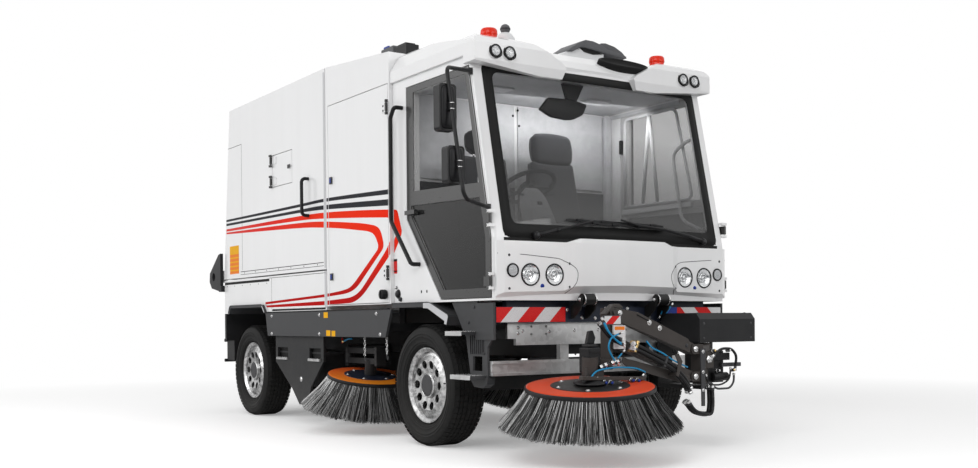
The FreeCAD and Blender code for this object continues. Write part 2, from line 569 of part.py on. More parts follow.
def front_fascia():
    """Moulded front panel with a raised centre and pockets for the round lamps."""
    back, edge = CAB_FRONT + SCREEN_BOW + 2, CAB_HALF - 12
    bow = [(880, edge - 2), (905, edge - 48), (920, 500), (955, 430)]
    plan = [(back - 40, -edge)] + [(x, -y) for x, y in bow] + [(965, 0)]
    plan += [(x, y) for x, y in reversed(bow)] + [(back - 40, edge)]
    panel = plan_prism(plan, 1022, 1378)
    notch = plan_prism([(back - 40, -500), (905, -490), (935, -360), (945, 0), (935, 360), (905, 490),
                        (back - 40, 500)], 1378, 1406)
    notch = notch.common(front_prism([(-500, 1370), (500, 1370), (370, 1406), (-370, 1406)], 800, 1000))
    undercut = side_prism([(870, 1022), (975, 1108), (1000, 1108), (1000, 1000), (870, 1000)], -CAB_HALF, CAB_HALF)
    panel = fuse(panel, notch).cut([cab_volume(-SEAT_GAP, CAB_FLOOR, CAB_TOP), undercut])
    return panel.cut([cyl(V(x - LAMP_T, y, z), X, r + SEAT_GAP, 100) for x, y, z, r in LAMPS[:FASCIA_LAMPS]])


def lamps():
    depths = [LAMP_T] * FASCIA_LAMPS + [LAMP_T / 2] * (len(LAMPS) - FASCIA_LAMPS)
    return [cyl(V(x - depth, y, z), X, r, LAMP_T) for depth, (x, y, z, r) in zip(depths, LAMPS)]


def roof_units():
    """Air unit and intake on the roof, the camera dome, and the two small units on the housing."""
    z = roof_top(250)
    unit = side_prism([(150, z), (180, z + 70), (330, z + 95), (470, z + 40), (520, z - 25), (500, z - 60),
                       (150, z - 20)], -140, 300)
    vent = side_prism([(540, 2700), (560, 2740), (660, 2705), (690, 2690), (600, 2660)], 200, 520)
    dome = cyl(V(380, -560, roof_top(380) - 20), Z, 40, 70)
    ball = Part.makeSphere(20, V(380, -560, roof_top(380) + 62))
    unit, vent = [s.cut(roof_cap()) for s in (unit, vent)]
    dome = fuse(dome.cut(roof_cap()), ball)
    flat, outer = HOUSE_Z1_REAR, -(BODY_HALF - 120)
    small = [side_prism([(a, house_top(a)), (a + 30, flat + high - 12), (b - 60, flat + high), (b, house_top(b))],
                        outer, outer + 110)
             for a, b, high in ((-830, -640, 48), (-620, -440, 20))]
    return [unit, vent, dome] + small


def beacons():
    z, y = roof_top(440), CAB_HALF - 265
    return both(cyl(V(440, y, z - 30), Z, 54, 95).cut(roof_cap()))


def seat(middle, half, head_half, head_top):
    """A seat on its pedestal, from the middle of its width, half its width and its headrest."""
    low, high = middle - half, middle + half
    floor = CAB_FLOOR + CAB_FLOOR_T
    base = box(20, 380, low + 60, high - 60, floor, 1420)
    cushion = side_prism([(-20, 1420), (450, 1420), (460, 1520), (430, 1560), (0, 1530)], low, high)
    back = side_prism([(-20, 1440), (70, 1520), (-60, 2080), (-150, 2080), (-120, 1500)], low + 10, high - 10)
    head = side_prism([(-70, 2080), (-90, head_top), (-160, head_top), (-150, 2080)],
                      middle - head_half, middle + head_half)
    return fuse(base, cushion, back, head)


def column_axis():
    t = math.radians(WHEEL_TILT)
    return V(-math.cos(t), 0, math.sin(t))


def dashboard():
    """Console under the windscreen with the steering column."""
    floor = CAB_FLOOR + CAB_FLOOR_T
    front = CAB_FRONT - CAB_WALL - 4
    console = side_prism([(660, floor), (front, floor), (front, 1395), (650, 1380), (560, 1320), (600, 1200)],
                         -CAB_HALF + CAB_WALL + CAB_CORNER, CAB_HALF - CAB_WALL - CAB_CORNER)
    axis = column_axis()
    start = WHEEL_AT - axis * 480
    column = cyl(start, axis, 34, 480 - 18)
    shaft = cyl(WHEEL_AT - axis * 60, axis, 12, 70)
    return fuse(console, column, shaft)


def steering_wheel():
    wheel = Part.makeTorus(WHEEL_R, 15)
    hub = tube(V(0, 0, -12), Z, 45, 12 + PIN_GAP, 24)
    arms = []
    for k in range(3):
        arm = box(40, WHEEL_R - 6, -14, 14, -6, 6)
        arm.rotate(O, Z, 90 + 120 * k)
        arms.append(arm)
    whole = fuse(wheel, hub, *arms)
    axis = column_axis()
    whole.Placement = FreeCAD.Placement(WHEEL_AT, FreeCAD.Rotation(Z, axis))
    return whole


def mirrors_right():
    """Bent tube beside the right front pillar with its two mirror heads."""
    y = -(CAB_HALF + 306)
    path = [V(616, -CAB_HALF + 2, 2492), V(820, y, 2440), V(1010, y, 1612), V(813, -CAB_HALF + 8, 1590)]
    bar = pipe(path, 13, 60)
    heads = []
    for x, z, high in ((800, 2190, 290), (890, 1825, 230)):
        head = box(x - 35, x + 35, y - 62, y + 62, z - high / 2, z + high / 2)
        head = head.makeFillet(22, [e for e in head.Edges if abs(e.tangentAt(e.FirstParameter).x) > 0.9])
        on_bar = 820 + (2440 - z) * (1010 - 820) / (2440 - 1612)
        clamp = box(x + 20, on_bar, y - 14, y + 14, z - 25, z + 25)
        heads.append(fuse(head, clamp))
    feet = [box(606, 624, -CAB_HALF - 12, -CAB_HALF + 15, 2468, 2512),
            box(804, 822, -CAB_HALF - 12, -CAB_HALF + 15, 1566, 1612)]
    return fuse(bar, *feet, *heads).cut(cab_volume(0, CAB_FLOOR, CAB_TOP))


def grab_rails():
    y0, y1 = CAB_HALF, CAB_HALF + 68
    path = [V(-290, y0, 2400), V(-290, y1, 2400), V(-345, y1, 2330), V(-345, y1, 1590), V(-60, y1, 1270),
            V(-60, y0, 1270)]
    return both(pipe(path, 15, 22))


# ---------------------------------------------------------------- housing

def house_top(x):
    """Height of the housing's sloping top."""
    return HOUSE_Z1_REAR + (HOUSE_Z1_FRONT - HOUSE_Z1_REAR) * (x - HOUSE_REAR) / (CAB_REAR - HOUSE_REAR)


def house_volume(inset):
    x0, x1 = HOUSE_REAR + inset, CAB_REAR - inset - 2
    outline = [(x0, HOUSE_Z0), (x1, HOUSE_Z0), (x1, house_top(x1) - inset), (x0, house_top(x0) - inset)]
    half = BODY_HALF - inset
    return side_prism(outline, -half, half)


def mid_housing():
    """Engine housing: walls and roof over the engine, open below, with a service door opening on each side."""
    shell = house_volume(0).cut(house_volume(HOUSE_WALL))
    shell = shell.cut(box(HOUSE_REAR + HOUSE_WALL, CAB_REAR - HOUSE_WALL - 2, -BODY_HALF + HOUSE_WALL,
                          BODY_HALF - HOUSE_WALL, HOUSE_Z0 - 1, HOUSE_Z0 + 60))
    g = RUN_GAP
    opening = box(SERVICE_X0 - g, SERVICE_X1 + g, BODY_HALF - HOUSE_WALL - 1, BODY_HALF + 1, SERVICE_Z0 - g,
                  SERVICE_Z1 + g)
    floor = box(HOUSE_REAR + 10, CAB_REAR - 12, -BODY_HALF + 40, BODY_HALF - 40, HOUSE_Z0, HOUSE_Z0 + 30)
    shell = fuse(shell.cut(both(opening)), floor)
    for z in SERVICE_HINGES:
        fixed = hinge(SERVICE_HINGE_X, BODY_HALF, z, -1, SERVICE_X1 + g + 1)[1]
        shell = shell.fuse(both(fixed))
    return shell.removeSplitter()


def service_door():
    panel = box(SERVICE_X0, SERVICE_X1, BODY_HALF - HOUSE_WALL, BODY_HALF, SERVICE_Z0, SERVICE_Z1)
    barrels = [hinge(SERVICE_HINGE_X, BODY_HALF, z, -1, SERVICE_X1 + RUN_GAP + 1)[0] for z in SERVICE_HINGES]
    latches = [box(SERVICE_X0 + 40, SERVICE_X0 + 90, BODY_HALF, BODY_HALF + 14, z - 28, z + 28)
               for z in (1232, 2000)]
    return fuse(panel, *barrels, *latches)


def engine_block():
    x = -960.0
    z0 = HOUSE_Z0 + 30
    return box(x - ENGINE_L / 2, x + ENGINE_L / 2, -ENGINE_W / 2, ENGINE_W / 2, z0, z0 + ENGINE_H)


# ---------------------------------------------------------------- lower body and hopper

def lower_body():
    """Fixed body under the hopper, cut away over the rear wheels."""
    body = box(LOWER_REAR, LOWER_FRONT, -BODY_HALF, BODY_HALF, LOWER_Z0, LOWER_Z1)
    x, top = -WHEELBASE, LOWER_Z0 + 66 + SEAT_GAP
    arch = [(x - 382, LOWER_Z0 - 11), (x - 342, top), (x + 472, top), (x + 542, LOWER_Z0 - 11)]
    return body.cut(both(side_prism(arch, ARCH_IN - 1, BODY_HALF + 1)))


def rear_x(z):
    """The hopper's sloping rear face at a height."""
    return HOPPER_REAR + (HOPPER_REAR_TOP - HOPPER_REAR) * (z - HOPPER_Z0) / (HOPPER_Z1 - HOPPER_Z0)


def hopper_outline(inset):
    z0, z1, front = HOPPER_Z0 + inset, HOPPER_Z1 - inset, HOPPER_FRONT - inset
    return [(rear_x(z0) + inset, z0), (front, z0), (front, z1), (rear_x(z1) + inset, z1)]


GATE_AXIS = V(rear_x(TAILGATE_Z1 + 12) - 24, 0, TAILGATE_Z1 + 12)


def hopper_shell():
    """Hollow tipping hopper, open at the rear, with lugs for the tipping pins, the tailgate and the hatch."""
    half = BODY_HALF
    shell = side_prism(hopper_outline(0), -half, half)
    shell = shell.cut(side_prism(hopper_outline(HOPPER_WALL), -half + HOPPER_WALL, half - HOPPER_WALL))
    g = RUN_GAP
    z0, z1 = TAILGATE_Z0 - g, TAILGATE_Z1 + g
    mouth = side_prism([(rear_x(z0) - 50, z0), (rear_x(z0) + 90, z0), (rear_x(z1) + 90, z1),
                        (rear_x(z1) - 50, z1)], -TAILGATE_HALF - g, TAILGATE_HALF + g)
    hatch = box(HATCH_X0 - g, HATCH_X1 + g, -half - 1, -half + HOPPER_WALL + 1, HATCH_Z0 - g, HATCH_Z1 + g)
    shell = shell.cut([mouth, hatch])
    # tipping lugs
    lugs = []
    inner, outer = BODY_HALF - 52, BODY_HALF - 2
    for side in (-1, 1):
        a, b = sorted((side * inner, side * outer))
        eye = cyl(V(TIP_X, a, TIP_Z), Y, TIP_LUG_R, b - a)
        arm = box(TIP_X, HOPPER_REAR + 30, a, b, HOPPER_Z0, TIP_Z + TIP_LUG_R)
        lug = fuse(eye, arm).cut(cyl(V(TIP_X, a - 1, TIP_Z), Y, TIP_PIN_R + PIN_GAP, b - a + 2))
        lugs.append(lug)
    shell = fuse(shell, *lugs)
    # tailgate hinge pins in lugs
    for y in GATE_HINGES:
        pin = cyl(V(GATE_AXIS.x, y - GATE_HINGE_W / 2 - 26, GATE_AXIS.z), Y, GATE_PIN_R, GATE_HINGE_W + 52)
        ears = []
        for low in (y - GATE_HINGE_W / 2 - 26, y + GATE_HINGE_W / 2 + 6):
            outline = [(GATE_AXIS.x - 14, GATE_AXIS.z - 12), (GATE_AXIS.x - 14, GATE_AXIS.z + 14),
                       (rear_x(GATE_AXIS.z + 45) + 10, GATE_AXIS.z + 45),
                       (rear_x(GATE_AXIS.z - 4) + 10, GATE_AXIS.z - 4)]
            ears.append(side_prism(outline, low, low + 20))
        shell = shell.fuse([pin] + ears)
    fixed = [mirrored(hinge(HATCH_HINGE_X, half, z, 1, HATCH_X0 - g - 24)[1]) for z in HATCH_HINGES]
    return shell.fuse(fixed).removeSplitter()


def hopper_rear_door():
    z0, z1 = TAILGATE_Z0, TAILGATE_Z1
    outline = [(rear_x(z0), z0), (rear_x(z0) + TAILGATE_T, z0), (rear_x(z1) + TAILGATE_T, z1), (rear_x(z1), z1)]
    panel = side_prism(outline, -TAILGATE_HALF, TAILGATE_HALF)
    arms = []
    for y in GATE_HINGES:
        a, b = y - GATE_HINGE_W / 2, y + GATE_HINGE_W / 2
        barrel = cyl(V(GATE_AXIS.x, a, GATE_AXIS.z), Y, GATE_BARREL_R, b - a)
        leaf = side_prism([(GATE_AXIS.x - 4, GATE_AXIS.z), (GATE_AXIS.x - 16, GATE_AXIS.z - 10),
                           (rear_x(z1 - 90) - 8, z1 - 90), (rear_x(z1 - 90) + 2, z1 - 90), (rear_x(z1 - 4), z1 - 4)],
                          a, b)
        arms.append(fuse(barrel, leaf).cut(cyl(V(GATE_AXIS.x, a - 1, GATE_AXIS.z), Y, GATE_PIN_R + PIN_GAP,
                                               b - a + 2)))
    return fuse(panel, *arms)


def hopper_hatch():
    panel = box(HATCH_X0, HATCH_X1, BODY_HALF - HOPPER_WALL, BODY_HALF, HATCH_Z0, HATCH_Z1)
    barrels = [hinge(HATCH_HINGE_X, BODY_HALF, z, 1, HATCH_X0 - RUN_GAP - 24)[0] for z in HATCH_HINGES]
    latch = box(HATCH_X1 - 70, HATCH_X1 - 20, BODY_HALF, BODY_HALF + 12, 2200, 2232)
    return mirrored(fuse(panel, latch, *barrels))


def hopper_handle():
    y0, y1 = -BODY_HALF, -BODY_HALF - 62
    x, low, high = HANDLE_X, 1760.0, 2066.0
    return pipe([V(x, y0, high), V(x, y1, high), V(x, y1, low), V(x, y0, low)], 14, 34)


# ---------------------------------------------------------------- sweeping gear

def brush_solid(disc_r, tip_r, drop):
    """Disc brush about the z axis, its mounting face at height 0: hub, dished disc and flared bristle skirt."""
    t = DISC_T
    return turned([
        (0.0, 0.0), (disc_r * 0.62, 0.0), (disc_r, -4.0), (disc_r, -t), (disc_r - 6, -t - 4),
        (tip_r, -t - drop), (tip_r - 70, -t - drop), (disc_r - 60, -t - 4), (disc_r - 60, -t), (0.0, -t),
    ])


def place_tilted(shape, at, tilt, toward=0.0):
    """Sets a brush at a place, leaning by tilt degrees toward a heading measured from straight ahead."""
    hinge_line = V(-math.sin(math.radians(toward)), math.cos(math.radians(toward)), 0)
    shape.Placement = FreeCAD.Placement(at, FreeCAD.Rotation(hinge_line, tilt))
    return shape


def tilt_axis(tilt, toward=0.0):
    t, a = math.radians(tilt), math.radians(toward)
    return V(math.sin(t) * math.cos(a), math.sin(t) * math.sin(a), math.cos(t))


def side_arm():
    """Left side-brush carrier: a sleeve on the slewing pin, two level links and the motor over the brush."""
    p, b = SIDE_PIVOT, SIDE_BRUSH
    end = b.x + 190
    z0, z1 = SIDE_PIN_Z0 + RUN_GAP, SIDE_PIN_Z1 - RUN_GAP
    sleeve = cyl(V(p.x, p.y, z0), Z, 38, z1 - z0)
    links = [box(p.x, end, b.y - 30, b.y + 30, z, z + 44) for z in (z1 - 44, z0)]
    plate = box(end - 35, end, b.y - 42, b.y + 42, z0 - 15, z1 + 10)
    axis = tilt_axis(SIDE_TILT)
    motor = cyl(b + axis * 1.0, axis, 48, z0 + 30 - b.z)
    bore = cyl(V(p.x, p.y, z0 - 1), Z, SIDE_PIN_R + PIN_GAP, z1 - z0 + 2)
    return fuse(sleeve, motor, plate, *links).cut(bore)


def side_arm_mounts():
    """Brackets under the rails with the pins on which the side-brush carriers swing."""
    p, half = SIDE_PIVOT, 26
    reach = p.y + SIDE_PIN_R + 6
    mount = fuse(
        box(p.x - half, p.x + half, RAIL_OUT, reach, SIDE_PIN_Z1, SIDE_PIN_Z1 + 20),
        box(p.x - half, p.x + half, RAIL_OUT, RAIL_OUT + 20, SIDE_PIN_Z0 - 20, SIDE_PIN_Z1 + 20),
        box(p.x - half, p.x + half, RAIL_OUT, reach, SIDE_PIN_Z0 - 20, SIDE_PIN_Z0),
        cyl(V(p.x, p.y, SIDE_PIN_Z0 - 20), Z, SIDE_PIN_R, SIDE_PIN_Z1 - SIDE_PIN_Z0 + 40),
    )
    return both(mount)


def side_brush():
    shape = brush_solid(SIDE_DISC_R, SIDE_TIP_R, SIDE_DROP)
    return place_tilted(shape, SIDE_BRUSH, SIDE_TILT)


def roller_brush():
    start = V(ROLLER_X, -ROLLER_HALF, ROLLER_Z)
    core = cyl(start, Y, ROLLER_R, 2 * ROLLER_HALF)
    reach = SWEEP_HALF + 8
    shaft = cyl(V(ROLLER_X, -reach, ROLLER_Z), Y, ROLLER_SHAFT_R, 2 * reach)
    return fuse(core, shaft)


def sweeping_housing():
    """Sheet housing round the roller: V-shaped side plates with two windows, top and slanting walls."""
    x0, x1, t = SWEEP_X0, SWEEP_X1, SWEEP_T
    top, foot, sheet = RAIL_Z0, 330.0, 14.0
    side = SWEEP_HALF - t
    outline = [(x0, SKIRT_BOTTOM), (x1, SKIRT_BOTTOM), (x1, 550), (x1 - 250, foot), (ROLLER_X + 130, 190),
               (ROLLER_X - 40, 167), (ROLLER_X - 195, 302), (x0, 525)]
    plate = side_prism(outline, side, SWEEP_HALF)
    windows = [box(x, x + 225, side - 1, SWEEP_HALF + 1, 568, 654) for x in (x0 + 47, x1 - 277)]
    shaft_hole = cyl(V(ROLLER_X, side - 1, ROLLER_Z), Y, ROLLER_SHAFT_R + PIN_GAP, t + 2)
    sills = [box(x, x + 225, SWEEP_HALF, SWEEP_HALF + 14, 552, 562) for x in (x0 + 47, x1 - 277)]
    plate = fuse(plate.cut(windows + [shaft_hole]), *sills)
    roof = box(x0, x1, -side, side, top - sheet, top)
    rear = side_prism([(x0, top - sheet), (x0 + sheet, top - sheet), (ROLLER_X - 230, foot),
                       (ROLLER_X - 230 - sheet, foot)], -side, side)
    front = side_prism([(x1 - sheet, top - sheet), (x1, top - sheet), (ROLLER_X + 230, foot),
                        (ROLLER_X + 230 - sheet, foot)], -side, side)
    return fuse(roof, rear, front, *both(plate))


def link_points():
    """Root and tip pins of the upper and lower links, as centre lines along x."""
    tip = V(LINK_ROOT.x, LINK_TIP_Y, LINK_ROOT.z + LINK_RISE)
    down = V(0, 0, -LINK_DROP)
    return LINK_ROOT, tip, LINK_ROOT + down, tip + down


def link(a, b, depth):
    """A link between two cross pins, with round ends and bores."""
    w = LINK_W / 2
    along = (b - a).normalize()
    up = V(0, -along.z, along.y) * (depth / 2)
    if up.z < 0:
        up = up * -1
    start = V(a.x - w, 0, 0)
    corners = [V(start.x, p.y, p.z) + s for p, s in ((a, up * -1), (b, up * -1), (b, up), (a, up))]
    bar = prism(corners, V(LINK_W, 0, 0))
    ends = [cyl(V(start.x, p.y, p.z), X, depth / 2, LINK_W) for p in (a, b)]
    bores = [cyl(V(start.x - 1, p.y, p.z), X, LINK_PIN_R + PIN_GAP, LINK_W + 2) for p in (a, b)]
    return fuse(bar, *ends).cut(bores)


def fork(points, reach_y):
    """Two cheeks beside the links with the cross pins through them; reach_y is where the cheeks are tied."""
    w = LINK_W / 2 + CHEEK_GAP
    parts = []
    r = LINK_H / 2 - 3
    for x in (LINK_ROOT.x - w - CHEEK_T, LINK_ROOT.x + w):
        for p in points:
            a, b = sorted((p.y, reach_y))
            parts += [cyl(V(x, p.y, p.z), X, r, CHEEK_T), box(x, x + CHEEK_T, a, b, p.z - r, p.z + r)]
    for p in points:
        parts.append(cyl(V(LINK_ROOT.x - w - CHEEK_T, p.y, p.z), X, LINK_PIN_R, 2 * (w + CHEEK_T)))
    return parts


def front_arm_bracket():
    """Fixed bracket of the front arm on the crossbar, its slewing pin and the sheet cover over it."""
    y0, y1 = 390.0, 920.0
    cover = side_prism([(870, 712), (1250, 712), (1250, 870), (1215, 912), (870, 912)], y0, y1)
    inner = side_prism([(880, 700), (1244, 700), (1244, 868), (1212, 906), (880, 906)], y0 + 6, y1 - 6)
    cover = cover.cut(inner)
    plate = box(800, 1244, 420, 540, 712, 728)
    wall = box(800, 820, 420, 540, 395, 728)
    foot = box(800, 1244, 420, 540, 395, 420)
    pin = cyl(V(SLEW.x, SLEW.y, 395), Z, 20, 333)
    return fuse(cover, plate, wall, foot, pin)


def front_arm_post():
    """Slewing post: a sleeve on the pin and the fork that carries both links."""
    z0, z1 = 428.0, 704.0
    upper, _, lower, _ = link_points()
    tie_y = LINK_ROOT.y + 60
    w = LINK_W / 2 + CHEEK_GAP + CHEEK_T
    sleeve = cyl(V(SLEW.x, SLEW.y, z0), Z, 42, z1 - z0)
    back = box(LINK_ROOT.x - w, LINK_ROOT.x + w, tie_y - 4, tie_y + 16, lower.z - 32, z1)
    web = plan_prism([(SLEW.x - 20, SLEW.y - 20), (SLEW.x + 40, SLEW.y + 10), (LINK_ROOT.x + w, tie_y + 10),
                      (LINK_ROOT.x - w, tie_y + 10)], z0 + 10, z1 - 10)
    parts = fork((upper, lower), tie_y)
    post = fuse(sleeve, back, web, *parts)
    return post.cut(cyl(V(SLEW.x, SLEW.y, z0 - 1), Z, 20 + PIN_GAP, z1 - z0 + 2))


def front_arm_head():
    """Head held level by the links: fork, upright bracket and the hydraulic motor over the brush."""
    _, upper, _, lower = link_points()
    tie_y = LINK_TIP_Y - 58
    w = LINK_W / 2 + CHEEK_GAP + CHEEK_T
    plate = box(LINK_ROOT.x - w, LINK_ROOT.x + w, tie_y - 12, tie_y + 4, 560, upper.z + 30)
    axis = tilt_axis(FRONT_TILT, FRONT_LEAN_TO)
    motor = cyl(FRONT_BRUSH + axis * 1.0, axis, 50, 170)
    arm = box(LINK_ROOT.x - 40, LINK_ROOT.x + 50, FRONT_BRUSH.y, tie_y, 575, 625)
    return fuse(plate, arm, motor, *fork((upper, lower), tie_y))


def front_brush():
    shape = brush_solid(FRONT_DISC_R, FRONT_TIP_R, FRONT_DROP)
    return place_tilted(shape, FRONT_BRUSH, FRONT_TILT, FRONT_LEAN_TO)


# ---------------------------------------------------------------- assembly

def build():
    nodes = {
        "chassis_frame": chassis_frame(),
        "cross_members": cross_members(),
        "body_bearers": body_bearers(),
        "side_arm_mounts": side_arm_mounts(),
        "front_axle": [front_axle()],
        "rear_axle": [rear_axle()],
        "engine_block": [engine_block()],
        "side_skirts": side_skirts(),
        "mudguards": mudguards(),
        "rear_bumper": rear_bumper(),
        "front_beam": [front_beam()],
        "front_crossbar": [front_crossbar()],
        "entry_steps": entry_steps(),
        "lower_body": [lower_body()],
        "mid_housing": [mid_housing()],
        "hopper_shell": [hopper_shell()],
        "hopper_rear_door": [hopper_rear_door()],
        "hopper_hatch": [hopper_hatch()],
        "hopper_handle": [hopper_handle()],
        "cab_shell": [cab_shell()],
        "windscreen": [windscreen()],
        "front_fascia": [front_fascia()],
        "roof_cap": [roof_cap()],
        "roof_units": roof_units(),
        "beacons": beacons(),
        "lamps": lamps(),
        "driver_seat": [seat(WHEEL_AT.y, 235, 125, 2260)],
        "passenger_seat": [seat(PASSENGER_Y, 220, 190, 2290)],
        "dashboard": [dashboard()],
        "steering_wheel": [steering_wheel()],
        "mirrors_right": [mirrors_right()],
        "grab_rails": grab_rails(),
        "sweeping_housing": [sweeping_housing()],
        "roller_brush": [roller_brush()],
        "front_arm_bracket": [front_arm_bracket()],
        "front_arm_post": [front_arm_post()],
        "front_arm_head": [front_arm_head()],
        "front_brush": [front_brush()],
    }
    upper_root, upper_tip, lower_root, lower_tip = link_points()
    nodes["front_arm_upper_link"] = [link(upper_root, upper_tip, LINK_H)]
    nodes["front_arm_lower_link"] = [link(lower_root, lower_tip, LINK_H * 0.8)]
    left_pieces = {
        "cab_door": cab_door(), "service_door": service_door(), "side_arm": side_arm(), "side_brush": side_brush(),
    }
    for name, shape in left_pieces.items():
        nodes[name + "_left"] = [shape]
        nodes[name + "_right"] = [mirrored(shape)]
    panes = cab_door_glass()
    nodes["door_glass_left"] = panes
    nodes["door_glass_right"] = [mirrored(p) for p in panes]
    for side, name in ((1, "left"), (-1, "right")):
        nodes["knuckle_" + name] = [knuckle(side)]
        for end, x, track in (("front", 0, FRONT_TRACK), ("rear", -WHEELBASE, REAR_TRACK)):
            centre = V(x, side * track / 2, TYRE_R)
            nodes["tyre_%s_%s" % (end, name)] = [tyre(centre, side)]
            nodes["rim_%s_%s" % (end, name)] = [rim(centre, side)]
    return nodes


def main():
    os.makedirs("parts", exist_ok=True)
    nodes = build()
    whole = Part.makeCompound([s for solids in nodes.values() for s in solids])
    ends = whole.optimalBoundingBox(True, False)
    shift = V(-(ends.XMin + ends.XMax) / 2, 0, 0)
    print("moved along x by", round(shift.x, 2), "box", ends)
    for name, solids in nodes.items():
        solids = [part for s in solids for part in (s.Solids or [s])]
        shape = solids[0] if len(solids) == 1 else Part.makeCompound(solids)
        if not shape.isValid() or shape.Volume <= 0:
            print("CHECK", name, shape.isValid(), shape.Volume)
        shape = shape.copy()
        shape.translate(shift)
        shape.exportStep("parts/%s.step" % name)


if __name__ == "__main__":
    main()
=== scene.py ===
"""Dresses the compact street sweeper: paint, glass, tyres, brushes, trim, cab interior, lights and camera.

Lengths are metres measured from the front axle, x forward, y to the left and z up from the ground.
"""
import random
from math import copysign, cos, exp, pi, radians, sin, sqrt, tau

import bmesh
import bpy
from bpy.props import FloatProperty, FloatVectorProperty, IntProperty, PointerProperty
from mathutils import Matrix, Vector


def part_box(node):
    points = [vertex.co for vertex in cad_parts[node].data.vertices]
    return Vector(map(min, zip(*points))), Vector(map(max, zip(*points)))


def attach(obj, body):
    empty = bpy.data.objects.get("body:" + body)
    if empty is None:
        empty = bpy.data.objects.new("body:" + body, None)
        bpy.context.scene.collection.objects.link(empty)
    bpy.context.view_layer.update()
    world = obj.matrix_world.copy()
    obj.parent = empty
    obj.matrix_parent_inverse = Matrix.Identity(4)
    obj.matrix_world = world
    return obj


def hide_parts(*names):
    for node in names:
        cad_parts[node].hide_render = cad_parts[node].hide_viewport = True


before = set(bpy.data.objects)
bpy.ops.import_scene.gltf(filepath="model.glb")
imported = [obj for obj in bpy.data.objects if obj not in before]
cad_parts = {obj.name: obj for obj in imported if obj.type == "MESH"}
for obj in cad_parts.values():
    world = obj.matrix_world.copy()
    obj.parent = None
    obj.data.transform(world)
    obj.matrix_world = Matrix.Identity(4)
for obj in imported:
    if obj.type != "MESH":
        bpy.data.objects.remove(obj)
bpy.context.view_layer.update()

bl_info = {
    "name": "Street sweeper dressing",
    "version": (1, 0, 0),
    "blender": (4, 5, 0),
    "location": "View3D > Sidebar > Sweeper",
    "description": "Adds finishes, livery, brushes, trim and a studio to the street sweeper frame",
    "category": "Object",
}

LOW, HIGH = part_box("tyre_front_right")
AXLE_X = (LOW[0] + HIGH[0]) / 2         # where the front axle stands in the frame
BODY = 1.05                             # half width of the body
CAB = 1.02                              # half width of the cab
AHEAD, UP = (1, 0, 0), (0, 0, 1)


# ---- mesh tools

def at_axle(x, y, z):
    """The place in the frame of a point measured from the front axle."""
    return Vector((x + AXLE_X, y, z))


